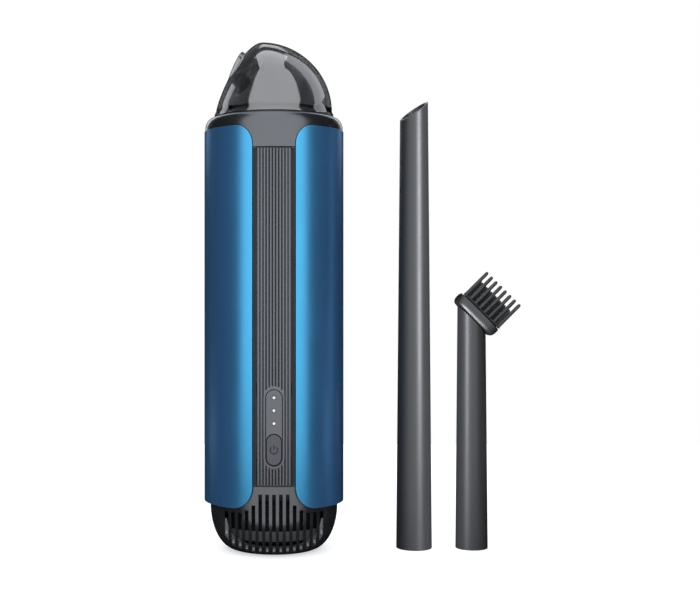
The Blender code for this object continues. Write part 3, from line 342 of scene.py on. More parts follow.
def noise(tree, vector, scale, detail=2.0, stretch=(1, 1, 1)):
    """Noise over the object's own millimetres; stretch squeezes it along an axis."""
    place = tree.nodes.new("ShaderNodeVectorMath")
    place.operation = "MULTIPLY"
    place.inputs[1].default_value = [1000 * share for share in stretch]
    tree.links.new(vector, place.inputs[0])
    texture = tree.nodes.new("ShaderNodeTexNoise")
    texture.inputs["Detail"].default_value = detail
    tree.links.new(place.outputs[0], texture.inputs["Vector"])
    if isinstance(scale, (int, float)):
        texture.inputs["Scale"].default_value = scale
    else:
        tree.links.new(scale, texture.inputs["Scale"])
    return texture.outputs["Factor" if "Factor" in texture.outputs else 0]


# Fine moulded texture: Height and Tone of the grain, and a slow Drift across the whole moulding.
moulded_grain, into, out = group_of("moulded_grain", [("Grain", 3.0), ("Patch", 0.05)], ["Height", "Tone", "Drift"])
where = own_place(moulded_grain)
coarse = noise(moulded_grain, where, into["Grain"], 1.0)
fine = noise(moulded_grain, where, maths(moulded_grain, "MULTIPLY", into["Grain"], 2.7), 1.0)
shares = [maths(moulded_grain, "MULTIPLY", layer, share) for layer, share in ((coarse, 0.6), (fine, 0.4))]
moulded_grain.links.new(maths(moulded_grain, "ADD", *shares), out["Height"])
moulded_grain.links.new(maths(moulded_grain, "SMOOTH_MIN", fine, coarse, 0.1), out["Tone"])
moulded_grain.links.new(noise(moulded_grain, where, into["Patch"], 3.0), out["Drift"])

# Painted edge highlight: a mask of the corners, broken up by noise, where the colour turns paler.
painted_edge_highlight, into, out = group_of("painted_edge_highlight", [("Width", 0.4), ("Break", 0.9)], ["Edge"])
rounded, facing = painted_edge_highlight.nodes.new("ShaderNodeBevel"), painted_edge_highlight.nodes.new("ShaderNodeVectorMath")
rounded.samples = 4
facing.operation = "DOT_PRODUCT"
painted_edge_highlight.links.new(maths(painted_edge_highlight, "MULTIPLY", into["Width"], MM), rounded.inputs["Radius"])
painted_edge_highlight.links.new(rounded.outputs[0], facing.inputs[0])
painted_edge_highlight.links.new(painted_edge_highlight.nodes.new("ShaderNodeNewGeometry").outputs["Normal"], facing.inputs[1])
bend = maths(painted_edge_highlight, "SUBTRACT", 1.0, facing.outputs["Value"])
patchy = noise(painted_edge_highlight, own_place(painted_edge_highlight), into["Break"], 3.0)
edge_highlight_mask = maths(painted_edge_highlight, "MULTIPLY", maths(painted_edge_highlight, "MULTIPLY", bend, 9.0), patchy)
painted_edge_highlight.links.new(maths(painted_edge_highlight, "MINIMUM", edge_highlight_mask, 1.0), out["Edge"])


def place_group(tree, group, **values):
    node = tree.nodes.new("ShaderNodeGroup")
    node.node_tree = group
    for socket, value in values.items():
        node.inputs[socket].default_value = value
    return node.outputs


def mixed(tree, share, low, high):
    """A colour between two others; each may be a tuple or an output."""
    mix = tree.nodes.new("ShaderNodeMix")
    mix.data_type = "RGBA"
    for socket, value in zip((mix.inputs[0], mix.inputs[6], mix.inputs[7]), (share, low, high)):
        if isinstance(value, bpy.types.NodeSocket):
            tree.links.new(value, socket)
        else:
            socket.default_value = (*value, 1) if isinstance(value, tuple) else value
    return mix.outputs[2]


def ranged(tree, value, low, high, start=0.3, end=0.7):
    """Maps the useful middle of a noise to a range."""
    spread = tree.nodes.new("ShaderNodeMapRange")
    tree.links.new(value, spread.inputs["Value"])
    for socket, number in zip(("From Min", "From Max", "To Min", "To Max"), (start, end, low, high)):
        spread.inputs[socket].default_value = number
    return spread.outputs["Result"]


def bumped(tree, height, depth):
    """A normal from a height, with the depth in millimetres."""
    bump = tree.nodes.new("ShaderNodeBump")
    bump.inputs["Strength"].default_value = 1.0
    bump.inputs["Distance"].default_value = depth * MM
    tree.links.new(height, bump.inputs["Height"])
    return bump.outputs["Normal"]


def surfaced(tree, shader, *looks):
    """Wires a finish's colour, roughness and normal to its shader."""
    for socket, look in zip(("Base Color", "Roughness", "Normal"), looks):
        tree.links.new(look, shader.inputs[socket])


def edge_highlighted(tree, tone, bright, amount, **edges):
    """A colour that turns brighter on the edges, a painted edge highlight."""
    edge = place_group(tree, painted_edge_highlight, **edges)["Edge"]
    return mixed(tree, maths(tree, "MULTIPLY", edge, amount), tone, bright)


def moulded(name, slot, colour, pale, roughness, grain, depth, edge=0.0, **sockets):
    """Moulded plastic or rubber: grain, slow drift of tone and gloss, and corners painted paler as a highlight."""
    material, tree, shader = new_finish(name, slot, **sockets)
    texture = place_group(tree, moulded_grain, Grain=grain)
    tone = mixed(tree, ranged(tree, texture["Tone"], 0.0, 1.0), colour, pale)
    if edge:
        tone = edge_highlighted(tree, tone, tuple(min(1.0, 2.2 * part + 0.03) for part in pale), edge)
    surfaced(tree, shader, tone, ranged(tree, texture["Drift"], *roughness), bumped(tree, texture["Height"], depth))
    return material


inner_plastic = moulded("glass_filled_nylon", "inner_plastic", (0.022, 0.023, 0.025), (0.032, 0.033, 0.036),
                        (0.48, 0.6), 2.2, 0.03, 0.25)
BUTTON_Z, SOCKET_Z, SCREW_Z = 51.8, 49.9, 37.1
LIGHT_HEIGHTS = (64.0, 70.0, 76.0)
screw_turns = [Matrix.Translation((0, 0, SCREW_Z)) @ Matrix.Rotation(side * math.pi / 2, 4, "Y") for side in (1, -1)]


def socket_hole(front, back, spare):
    """Opening of the charge socket, a pill that lies flat, with spare room around it."""
    hole = pill(3.2 + 2 * spare, 0, 9.0 + 2 * spare, front, back)
    lay_flat = Matrix.Translation((0, 0, SOCKET_Z)) @ Matrix.Rotation(math.pi / 2, 4, "Y")
    return moved(hole, lay_flat @ Matrix.Translation((0, 0, -4.5 - spare)))


housing_profile = [(SKIN_R, HOUSING_TOP), (SKIN_R, HOUSING_BOTTOM), (HOUSING_R, HOUSING_BOTTOM),
                   (HOUSING_R, MOUNT_SEAT - 3), (MOUNT_IN_R + 0.7, MOUNT_SEAT - 3), (MOUNT_IN_R + 0.7, MOUNT_SEAT),
                   (HOUSING_R, MOUNT_SEAT), (HOUSING_R, HOUSING_TOP)]
front_holes = [moved(rod(1.9, 26.9, 34, 24), to_front(0, BUTTON_Z))]
front_holes += [moved(rod(0.95, 26.9, 34, 20), to_front(0, z)) for z in LIGHT_HEIGHTS]
front_holes += [moved(rod(1.0, 27, 34, 20), turn) for turn in screw_turns]
made("housing_tube", turned(housing_profile), 0.2, inner_plastic, "main_housing",
     cut=[pill(8.6, 43.9, 80.2, -36, -31.2), joined(front_holes), socket_hole(27, 36, 0.3)])

# ------------------------------------------------------------------ side panels
# Two curved metal shells that clip over the housing, left and right, between the front and rear strips.
# Satin blue metallic lacquer under a clear coat; the rims are rounded over. Its colour turns paler and more violet
# where the skin turns away from the camera, a painted sheen, and its edges carry a painted highlight.
PANEL_BOTTOM, PANEL_TOP = 24.0, 203.0
TOP_CORNER, BOTTOM_CORNER = 9.0, 10.5
PANEL_EDGE = math.radians(17.5)
LACQUER_BLUE, LACQUER_GRAZING_SHEEN, LACQUER_EDGE_HIGHLIGHT = (0.018, 0.27, 0.465), (0.085, 0.29, 0.63), (0.2, 0.55, 0.75)


def panel_shape(middle, grow=0.0, outer_r=PANEL_R, steps=90):
    """A curved plate with rounded corners, as upright columns; grow gives the clearance around it."""
    half = math.pi / 2 - PANEL_EDGE + grow / PANEL_R
    widest = max(TOP_CORNER, BOTTOM_CORNER) + grow
    edge = [widest * (1 - math.cos(math.pi / 2 * i / 16)) / PANEL_R for i in range(17)]
    inner = half - edge[-1]
    angles = [-half + step for step in edge]
    angles += [-inner + 2 * inner * i / steps for i in range(1, steps)]
    angles += [half - step for step in reversed(edge)]

    def inset(angle, corner):
        reach = max(corner - (half - abs(angle)) * PANEL_R, 0.0)
        return corner - math.sqrt(max(corner**2 - reach**2, 0.0))

    inner_r = PANEL_R - PANEL_T - grow
    columns = []
    for angle in angles:
        low = PANEL_BOTTOM - grow + inset(angle, BOTTOM_CORNER + grow)
        high = PANEL_TOP + grow - inset(angle, TOP_CORNER + grow)
        columns.append([polar(r, middle + angle, z)
                        for r, z in ((outer_r, low), (outer_r, high), (inner_r, high), (inner_r, low))])
    return loft(columns)


def panel_recesses():
    return joined([panel_shape(middle, GAP, PANEL_R + 3, 60) for middle in (0.0, math.pi)])


blue_lacquer, tree, shader = new_finish("blue_metallic_lacquer", "panel_blue", Metallic=0.78, Coat_Weight=0.4,
                                        Coat_Roughness=0.3)
texture = place_group(tree, moulded_grain, Grain=6.0, Patch=0.03)
# Painted sheen: the blue turns paler and more violet as the surface turns away from the camera; the edges get a painted
# highlight.
facing = tree.nodes.new("ShaderNodeLayerWeight")
facing.inputs["Blend"].default_value = 0.5
turn = maths(tree, "ADD", facing.outputs["Facing"], maths(tree, "MULTIPLY", texture["Tone"], 0.03))
facing_sheen_blue = mixed(tree, ranged(tree, turn, 0.0, 1.0, 0.06, 0.28), LACQUER_BLUE, LACQUER_GRAZING_SHEEN)
surfaced(tree, shader, edge_highlighted(tree, facing_sheen_blue, LACQUER_EDGE_HIGHLIGHT, 0.35, Width=0.5, Break=0.6),
         ranged(tree, texture["Drift"], 0.28, 0.33), bumped(tree, texture["Height"], 0.006))
for name, middle in (("right_panel", 0.0), ("left_panel", math.pi)):
    made(name + "_shell", panel_shape(middle), (0.45, 3), blue_lacquer, name)

# ------------------------------------------------------------------ grip strips
# Front and rear strips of graphite ABS with fine upright ribs between the panels; black bands along their margins are
# painted shade.
# The ribs die out at the strip's ends, and run into a flat ring around the plate or the socket.
RIB_COUNT, RIB_FADE = 11, 0.35
STRIP_IN_R = SKIN_R + GAP
VALLEY_R, CREST_R = STRIP_IN_R + 0.6, STRIP_IN_R + 1.0
STRIP_HALF = PANEL_EDGE - GAP / PANEL_R
RIB_PITCH = 2 * STRIP_HALF * 0.85 / RIB_COUNT
RIB_BAND = RIB_PITCH * RIB_COUNT / 2

graphite_satin = moulded("satin_graphite", "graphite_satin", (0.082, 0.085, 0.091), (0.095, 0.099, 0.106), (0.22, 0.28),
                         3.4, 0.01, 0.1, Metallic=0.85)


def smooth(low, high, value):
    share = min(max((value - low) / (high - low), 0.0), 1.0)
    return share * share * (3 - 2 * share)


def pill_distance(x, z, half, low, high):
    """Distance from an upright pill's outline, less than 0 inside it."""
    return math.hypot(x, z - min(max(z, low + half), high - half)) - half


def strip_shape(middle, clear_of):
    """A thin curved strip; clear_of gives the distance to the opening that its ribs keep away from."""
    marks = [0, 0.1, 0.25, 0.45, 0.7, 1.0, 1.5, 2.2]
    rows = [HOUSING_BOTTOM + mark for mark in marks]
    for start, pitch, count in ((37.6, 0.35, 32), (49.2, 2.0, 14), (76.0, 0.35, 22), (84.5, 8.0, 13)):
        rows += [start + pitch * i for i in range(count)]
    rows += [HOUSING_TOP - mark for mark in reversed(marks)]
    count = RIB_COUNT * 9
    angles = [-STRIP_HALF, -STRIP_HALF + 0.004, -STRIP_HALF + 0.02]
    angles += [-RIB_BAND + 2 * RIB_BAND * i / count for i in range(count + 1)]
    angles += [STRIP_HALF - 0.02, STRIP_HALF - 0.004, STRIP_HALF]
    columns = []
    for angle in angles:
        share = (angle / RIB_PITCH + RIB_COUNT / 2) % 1.0
        rib = (0.5 - 0.5 * math.cos(2 * math.pi * share)) ** 0.45 if abs(angle) < RIB_BAND else 0.0
        column = []
        for z in rows:
            ends = smooth(0.1, RIB_FADE, z - HOUSING_BOTTOM) * smooth(0.1, RIB_FADE, HOUSING_TOP - z)
            flat_ring = 1 - smooth(0.95, 1.35, clear_of(angle * CREST_R, z))
            column.append(polar(VALLEY_R + (CREST_R - VALLEY_R) * max(rib * ends, flat_ring), middle + angle, z))
        columns.append(column + [polar(STRIP_IN_R, middle + angle, z) for z in (HOUSING_TOP, HOUSING_BOTTOM)])
    return loft(columns)


made("front_strip", strip_shape(-math.pi / 2, lambda x, z: pill_distance(x, z, 4.0, 44.2, 79.9)), (0, 2, 60),
     graphite_satin, "front_grip_strip", cut=[pill(8.2, 44.1, 80.0, -36, -HOUSING_R, 28)])
made("rear_strip", strip_shape(math.pi / 2, lambda x, z: pill_distance(z - SOCKET_Z, x, 1.6, -4.5, 4.5)), (0, 2, 60),
     graphite_satin, "rear_grip_strip", cut=[socket_hole(HOUSING_R, 36, 0.3)])

# Black bands along the strip margins next to the panels: painted shade where the panel edges shade the strips.
shade_band_low, shade_band_high = RIB_BAND + 0.004, STRIP_HALF - 0.004
shade_band_section = [(VALLEY_R + r, z) for r, z in ((-0.2, HOUSING_BOTTOM + 0.2), (0.12, HOUSING_BOTTOM + 0.2),
                                               (0.12, HOUSING_TOP - 0.2), (-0.2, HOUSING_TOP - 0.2))]
shade_bands = []
for middle in (-math.pi / 2, math.pi / 2):
    for side in (-1, 1):
        turns = [middle + side * (shade_band_low + (shade_band_high - shade_band_low) * i / 4) for i in range(5)]
        shade_bands.append(loft([[polar(r, turn, z) for r, z in shade_band_section] for turn in turns]))
painted_shade_black = moulded("painted_margin_shade", "inner_plastic", (0.009, 0.0095, 0.0105), (0.013, 0.0135, 0.015), (0.55, 0.66), 2.2,
                     0.02, Specular_IOR_Level=0.3)
made("strip_margin_shade_bands", joined(shade_bands), 0.0, painted_shade_black)

# ------------------------------------------------------------------ exhaust cap
# The slotted bowl that plugs into the bottom of the housing, moulded in gloss graphite, with slots front and rear.
# The tall slots begin with a shallow lead-in; a ring and a felt liner inside the bowl keep the battery out of sight,
# and the ring's pale grey is painted light seen through the slots.
SLOT_REACH, SLOT_PITCH, SLOT_WIDTH, END_LIP_WIDTH = 7, 3.2, 1.75, 1.15
SLOT_TOPS = (31.0, 31.0, 31.0, 25.6, 23.0, 21.5, 21.5, 21.5)
SLOT_END_RADII = (23.4, 23.4, 23.5, 23.7, 24.2, 25.2, 25.9, 28.1)
LEAD_IN, LEAD_IN_REACH = 3.3, 2
BACKING_LOW, BACKING_HIGH = 7.4, 13.0
FOOT_FLAT_R, FOOT_PROUD, FOOT_PAD_R = 19.0, 0.5, 15.0
BOWL_R, BOWL_Z, CAP_WALL = 31.0, 22.0, 2.5
CAP_TRIM_R, CAP_TOP = 33.0, 34.6
NECK_R, NECK_WALL, NECK_TOP = HOUSING_R - GAP, 2.0, CAP_TOP + 4.4
LEDGE_TOP = CAP_TOP - 2.6

graphite_gloss = moulded("gloss_graphite", "graphite_gloss", (0.1, 0.103, 0.108), (0.112, 0.115, 0.121), (0.19, 0.25),
                         1.6, 0.004, 0.05, Metallic=0.85)


def bowl_curve(inward, steps):
    """Quarter ellipse of the bowl, from its rim down to the foot, moved inward by a wall."""
    drop, width = BOWL_Z - FOOT_PROUD - inward, BOWL_R - FOOT_FLAT_R - inward
    turns = [math.pi / 2 * i / steps for i in range(steps + 1)]
    return [(FOOT_FLAT_R + width * math.cos(a), BOWL_Z - drop * math.sin(a)) for a in turns]


def slots_cut(outline_at, reach, width=SLOT_WIDTH):
    """Straight upright shapes side by side, front and rear; outline_at gives the (depth, height) outline of one."""
    slots = []
    for step in range(-reach, reach + 1):
        x = step * SLOT_PITCH
        outline = outline_at(x, abs(step))
        for side in (-1, 1):
            slots.append(loft([[(x + edge * width / 2, side * y, z) for y, z in outline] for edge in (-1, 1)]))
    return joined(slots)


def depth_at(radius, x):
    return math.sqrt(max(radius**2 - x**2, 36.0))


def through_slot(x, step):
    top, end = SLOT_TOPS[step], SLOT_END_RADII[step]
    top -= LEAD_IN if top > 26 else 0.0
    inner = [(depth_at(r, x), z) for r, z in bowl_curve(CAP_WALL + 1.2, 12) if r > min(end, 26.9)]
    outline = [(depth_at(end, x), -3), (38.0, -3), (38.0, top), (inner[0][0], top)]
    return outline + [point for point in inner if point[1] < top - 0.1] + [(depth_at(end, x), inner[-1][1])]


def lead_in(x, step):
    return [(29.4, 27.0), (38.0, 27.0), (38.0, 31.0), (31.4, 31.0)]


def end_lip(x, step):
    """The pale lip at the foot end of a slot; it leans back, so that it catches the light from above, and its pale grey
    is a painted highlight.
    """
    end = SLOT_END_RADII[step]
    share = (end + 0.9 - FOOT_FLAT_R) / (BOWL_R - FOOT_FLAT_R)
    low = BOWL_Z + 0.2 - (BOWL_Z - FOOT_PROUD) * math.sqrt(1 - share ** 2)
    high = low + 2.2 + 0.12 * max(step - 4, 0) ** 2
    return [(depth_at(end + 0.1, x), low), (depth_at(end + 0.9, x), low), (depth_at(end - 0.5, x), high),
            (depth_at(end - 1.1, x), high)]


inner_neck_r = NECK_R - NECK_WALL
inner_bowl = bowl_curve(CAP_WALL, 12)
cap_profile = [(FOOT_PAD_R + GAP, FOOT_PROUD + 1.2), (FOOT_PAD_R + GAP, FOOT_PROUD)] + bowl_curve(0.0, 20)[::-1]
cap_profile += [(CAP_TRIM_R, CAP_TOP), (NECK_R, CAP_TOP), (NECK_R, NECK_TOP),
                (inner_neck_r, NECK_TOP), (inner_neck_r, LEDGE_TOP), (inner_neck_r - 3, LEDGE_TOP),
                (inner_neck_r - 3, LEDGE_TOP - 2), (inner_bowl[0][0], LEDGE_TOP - 2)] + inner_bowl
screw_holes = joined([moved(rod(0.9, 26, 31.0, 20), turn) for turn in screw_turns])
cap = made("slotted_bowl", turned(cap_profile, 240, closed=False), (0.22, 2, 40), graphite_gloss, "exhaust_cap",
           cut=[slots_cut(through_slot, SLOT_REACH), slots_cut(lead_in, LEAD_IN_REACH), panel_recesses(), screw_holes])
lit["bowl"].objects.link(cap)

backing = [[point for point in bowl_curve(CAP_WALL + wall, 40) if BACKING_LOW < point[1] < BACKING_HIGH]
           for wall in (0.25, 1.05)]
# The ring and the lips are painted far paler than the bowl: painted light inside the slots and painted highlights at
# their ends.
for name, shape, tone in (("slot_backing_ring", turned(backing[0] + backing[1][::-1]), 0.16),
                          ("slot_end_lips", slots_cut(end_lip, SLOT_REACH, END_LIP_WIDTH), 0.3)):
    slot_painted_light_grey = moulded(name + "_grey", "graphite_satin", (tone, tone, tone * 1.05),
                        (tone * 1.1, tone * 1.1, tone * 1.15), (0.4, 0.5), 3.0, 0.01)
    made(name, shape, 0.15, slot_painted_light_grey)


def cells_over(tree, **values):
    """A cell pattern over the object's own millimetres."""
    scaled, cells = tree.nodes.new("ShaderNodeVectorMath"), tree.nodes.new("ShaderNodeTexVoronoi")
    scaled.operation = "SCALE"
    scaled.inputs["Scale"].default_value = 1000
    for socket, value in values.items():
        cells.inputs[socket].default_value = value
    tree.links.new(own_place(tree), scaled.inputs[0])
    tree.links.new(scaled.outputs[0], cells.inputs["Vector"])
    return cells


# Open-cell foam and felt: pores from cells, matt, with a drift of tone.
foam_black, tree, shader = new_finish("open_cell_foam", "foam_black", Specular_IOR_Level=0.2)
texture = place_group(tree, moulded_grain, Grain=1.2, Patch=0.1)
pores = cells_over(tree, Scale=1.1).outputs["Distance"]
surfaced(tree, shader, mixed(tree, pores, (0.004, 0.004, 0.005), (0.03, 0.03, 0.032)),
         ranged(tree, texture["Drift"], 0.85, 0.97), bumped(tree, pores, 0.5))

liner_out, liner_in = bowl_curve(CAP_WALL + 1.5, 14), bowl_curve(CAP_WALL + 2.5, 14)
liner_profile = [(liner_out[0][0], 29.4)] + liner_out[:11] + liner_in[:11][::-1] + [(liner_in[0][0], 29.4)]
made("bowl_felt_liner", turned(liner_profile), 0.15, foam_black)
foam_r = inner_neck_r - GAP
made("outlet_foam_disc", turned([(foam_r - 0.4, LEDGE_TOP + GAP), (foam_r, LEDGE_TOP + 0.7), (foam_r, NECK_TOP - 0.6),
                                 (foam_r - 0.4, NECK_TOP - 0.2)], closed=False), 0.0, foam_black, "exhaust_foam")

# ------------------------------------------------------------------ foot pad
# Soft rubber disc pressed into the recess of the bowl's foot, with three grip rings moulded in its face.
rubber_black = moulded("soft_rubber", "rubber_black", (0.012, 0.012, 0.0125), (0.021, 0.021, 0.022), (0.62, 0.78), 1.3,
                       0.05, 0.15, Specular_IOR_Level=0.35)
pad_profile = [(0.4, 1.4), (0.4, 0.35), (3.6, 0.35), (3.9, 0.0)]
for ring_r in (6.0, 9.0, 12.0):
    pad_profile += [(ring_r - 0.7, 0.0), (ring_r - 0.4, 0.4), (ring_r + 0.4, 0.4), (ring_r + 0.7, 0.0)]
pad_profile += [(FOOT_PAD_R - 0.4, 0.0), (FOOT_PAD_R, 0.4), (FOOT_PAD_R, 1.15), (FOOT_PAD_R - 0.25, 1.4)]
made("grip_foot", turned(pad_profile, 96, closed=False), 0.12, rubber_black, "foot_pad")

# ------------------------------------------------------------------ cap screws
# Two small cross-head screws that hold the cap's neck inside the housing, plated steel.
# They sit under the panels, so their heads are low and lie in the skin.
SCREW_SHANK_R, SCREW_HEAD_R, SCREW_TIP, HEAD_SEAT, HEAD_TOP = 0.7, 1.3, 26.6, 30.9, 31.6

lathe_marks, into, out = group_of("lathe_marks", [("Fineness", 6.0), ("Stain", 0.2)], ["Line", "Cloud"])
where = own_place(lathe_marks)
lathe_marks.links.new(noise(lathe_marks, where, into["Fineness"], 2.0, (0.25, 0.25, 2.0)), out["Line"])
lathe_marks.links.new(noise(lathe_marks, where, into["Stain"], 3.0), out["Cloud"])


def machined(name, slot, colour, pale, roughness, depth=0.004, fineness=6.0):
    """Turned, rolled or plated metal with fine lines, a cloudy gloss and edges painted paler as a highlight."""
    material, tree, shader = new_finish(name, slot, Metallic=1.0)
    marks = place_group(tree, lathe_marks, Fineness=fineness)
    tone = mixed(tree, ranged(tree, marks["Cloud"], 0.0, 1.0), colour, pale)
    tone = edge_highlighted(tree, tone, tuple(min(1.0, 1.25 * part) for part in pale), 0.6, Width=0.25, Break=1.2)
    surfaced(tree, shader, tone, ranged(tree, marks["Line"], *roughness), bumped(tree, marks["Line"], depth))
    return material


def block(low, high):
    (x0, y0, z0), (x1, y1, z1) = low, high
    return loft([[(x0, y0, z), (x1, y0, z), (x1, y1, z), (x0, y1, z)] for z in (z0, z1)])


steel = machined("plated_steel", "steel", (0.47, 0.48, 0.49), (0.6, 0.61, 0.62), (0.24, 0.38))
screw_profile = [(SCREW_SHANK_R, SCREW_TIP), (SCREW_SHANK_R, HEAD_SEAT), (SCREW_HEAD_R, HEAD_SEAT),
                 (SCREW_HEAD_R, HEAD_TOP - 0.2), (SCREW_HEAD_R - 0.3, HEAD_TOP)]
for name, turn in zip(("cap_screw_right", "cap_screw_left"), screw_turns):
    cross = [moved(block((-reach_x, -reach_y, floor_z), (reach_x, reach_y, 32.0)), turn)
             for reach_x, reach_y, floor_z in ((0.75, 0.14, 31.3), (0.14, 0.75, 31.29))]
    made(name + "_steel", moved(turned(screw_profile, 32, closed=False), turn), (0.05, 1), steel, name, cut=cross)

# ------------------------------------------------------------------ top collar
# The satin ring that joins the housing to the dust cup; its tongues run down between the panels.
# Its shoulder is turned over to the seam, and a seat inside carries the filter and the cup's gasket.
TONGUE_R, COLLAR_Z = PANEL_R - 0.4, HOUSING_TOP + GAP
SHOULDER_Z, SHOULDER_HEIGHT = PANEL_TOP + 1.6, 4.8
SEAM_R, SEAM_Z = PANEL_R - 3.7, PANEL_TOP + 6.4
CUP_R = SEAM_R - 1.9
SKIRT_R, SKIRT_IN_R, SKIRT_Z = CUP_R - 1.0, CUP_R - 2.7, PANEL_TOP + 0.3
FILTER_SEAT_Z, FILTER_SEAT_R = PANEL_TOP - 6.0, 22.0

shoulder = [(SEAM_R + (TONGUE_R - SEAM_R) * math.cos(a), SHOULDER_Z + SHOULDER_HEIGHT * math.sin(a))
            for a in [math.pi / 2 * i / 14 for i in range(15)]]
seat_ring = SKIRT_R + GAP
collar_profile = [(seat_ring, SEAM_Z)] + shoulder[::-1]
collar_profile += [(TONGUE_R, COLLAR_Z), (NECK_R, COLLAR_Z), (NECK_R, COLLAR_Z - 6), (NECK_R - 2, COLLAR_Z - 6),
                   (NECK_R - 2, FILTER_SEAT_Z - 2), (FILTER_SEAT_R, FILTER_SEAT_Z - 2), (FILTER_SEAT_R, FILTER_SEAT_Z),
                   (SKIRT_IN_R + 0.5, FILTER_SEAT_Z), (SKIRT_IN_R + 0.5, SKIRT_Z - 1.6), (seat_ring, SKIRT_Z - 1.6)]
made("shoulder_collar", turned(collar_profile), (0.22, 2, 40), graphite_satin, "top_collar", cut=[panel_recesses()])

# ------------------------------------------------------------------ indicator plate
# A satin plate that lies flush in the front strip above the button, clipped in from behind.
# Three holes in it show the ends of the light pipe.
PLATE_WIDTH, PLATE_LOW, PLATE_HIGH = 7.3, 44.4, 79.6
BUTTON_WIDTH, BUTTON_LOW, BUTTON_HIGH = 7.0, 44.7, 58.9
BOARD_FRONT, LIGHT_R = 28.01, 0.72

plate_satin = moulded("satin_plate", "graphite_satin", (0.085, 0.088, 0.093), (0.098, 0.101, 0.107), (0.3, 0.36), 3.4,
                      0.008, 0.1, Metallic=0.8)
light_turns = [to_front(0, z) for z in LIGHT_HEIGHTS]
light_holes = joined([moved(rod(LIGHT_R + 0.25, 20, 40, 28), turn) for turn in light_turns])
made("indicator_face", pill(PLATE_WIDTH, PLATE_LOW, PLATE_HIGH, -PLATE_FRONT, -PLATE_FRONT + 1.6, 36), 0.12,
     plate_satin, "indicator_plate",
     cut=[pill(PLATE_WIDTH + 0.3, PLATE_LOW - 3, BUTTON_HIGH + 0.45, -40, -20, 36), light_holes])

# ------------------------------------------------------------------ light pipe
# Clear-white acrylic bar on the control board with three pins that carry the light of the LEDs to the plate.
# The pin ends are polished and slightly domed.
light_white = moulded("milky_acrylic", "light_white", (0.82, 0.83, 0.84), (0.9, 0.9, 0.9), (0.12, 0.2), 2.0, 0.002)
pin = turned([(LIGHT_R, BOARD_FRONT + 0.7), (LIGHT_R, PLATE_FRONT - 0.12), (LIGHT_R * 0.75, PLATE_FRONT - 0.02),
              (LIGHT_R * 0.3, PLATE_FRONT)], 28, closed=False)
bar = block((-0.9, -BOARD_FRONT - 1.1, LIGHT_HEIGHTS[0] - 1.3), (0.9, -BOARD_FRONT - GAP, LIGHT_HEIGHTS[-1] + 1.3))
made("light_bar", bar, 0.06, light_white, "light_pipe", join=[joined([moved(pin, turn) for turn in light_turns])])

# ------------------------------------------------------------------ power button
# A satin push button that fills the lower end of the pill, with a stem that reaches the switch behind it.
# The power symbol is a darker inlay, level with the face.
BUTTON_FACE = -PLATE_FRONT - 0.2
INLAY_BACK, INLAY_FACE = BUTTON_FACE + 0.1, BUTTON_FACE - 0.015
SYMBOL_IN_R, SYMBOL_OUT_R, SYMBOL_GAP = 1.42, 2.02, 76

button_satin = moulded("satin_button", "graphite_satin", (0.06, 0.0625, 0.068), (0.07, 0.073, 0.079), (0.3, 0.36), 3.4,
                       0.008, 0.1, Metallic=0.8)
stem_back = BOARD_FRONT + GAP + 1.2 + GAP + 0.6
made("push_button", pill(BUTTON_WIDTH, BUTTON_LOW, BUTTON_HIGH, BUTTON_FACE, BUTTON_FACE + 1.3, 36), (0.4, 4, 50),
     button_satin, "power_button", join=[moved(rod(1.5, stem_back, PLATE_FRONT - 0.5, 40), to_front(0, BUTTON_Z))],
     body="button")

symbol_ink = moulded("inlaid_symbol", "graphite_gloss", (0.02, 0.021, 0.023), (0.026, 0.027, 0.03), (0.55, 0.65), 3.4,
                     0.01, Specular_IOR_Level=0.2)
arc = [math.radians(90 + SYMBOL_GAP / 2 + i * (360 - SYMBOL_GAP) / 40) for i in range(41)]
ring_line = loft([[(r * math.cos(a), y, BUTTON_Z + r * math.sin(a))
                   for r, y in ((SYMBOL_IN_R, INLAY_BACK), (SYMBOL_OUT_R, INLAY_BACK),
                                (SYMBOL_OUT_R, INLAY_FACE), (SYMBOL_IN_R, INLAY_FACE))] for a in arc])
stroke = block((-0.3, INLAY_FACE, BUTTON_Z + 0.15), (0.3, INLAY_BACK, BUTTON_Z + 2.3))
made("power_symbol", joined([ring_line, stroke]), 0.0, symbol_ink, body="button")

# ------------------------------------------------------------------ charge socket
# A pill-shaped steel shell with a tongue, soldered to a small board of its own inside the rear of the housing.
# It looks out through the rear strip; the tongue is black nylon with gilt contacts.
MOUTH_Y = 32.5
quarter_turn = Matrix.Rotation(math.pi / 2, 4, "Y")
lay_flat = Matrix.Translation((0, 0, SOCKET_Z)) @ quarter_turn @ Matrix.Translation((0, 0, -4.5))
made("socket_shell", moved(pill(3.2, 0, 9.0, MOUTH_Y - 7.3, MOUTH_Y, 24), lay_flat), 0.1, steel, "charge_socket",
     cut=[moved(pill(2.5, 0.35, 8.65, MOUTH_Y - 6.3, MOUTH_Y + 1, 24), lay_flat)])
made("socket_tongue", block((-3.3, MOUTH_Y - 6.5, SOCKET_Z - 0.35), (3.3, MOUTH_Y - 0.8, SOCKET_Z + 0.35)), 0.12,
     inner_plastic)
gilt = machined("gilt_contacts", "steel", (0.75, 0.5, 0.18), (0.9, 0.64, 0.28), (0.2, 0.3))
contacts = [block((x - 0.14, MOUTH_Y - 6.2, SOCKET_Z - 0.37), (x + 0.14, MOUTH_Y - 1.1, SOCKET_Z + 0.37))
            for x in (-2.4, -1.6, -0.8, 0.0, 0.8, 1.6, 2.4)]
made("socket_contacts", joined(contacts), 0.0, gilt)

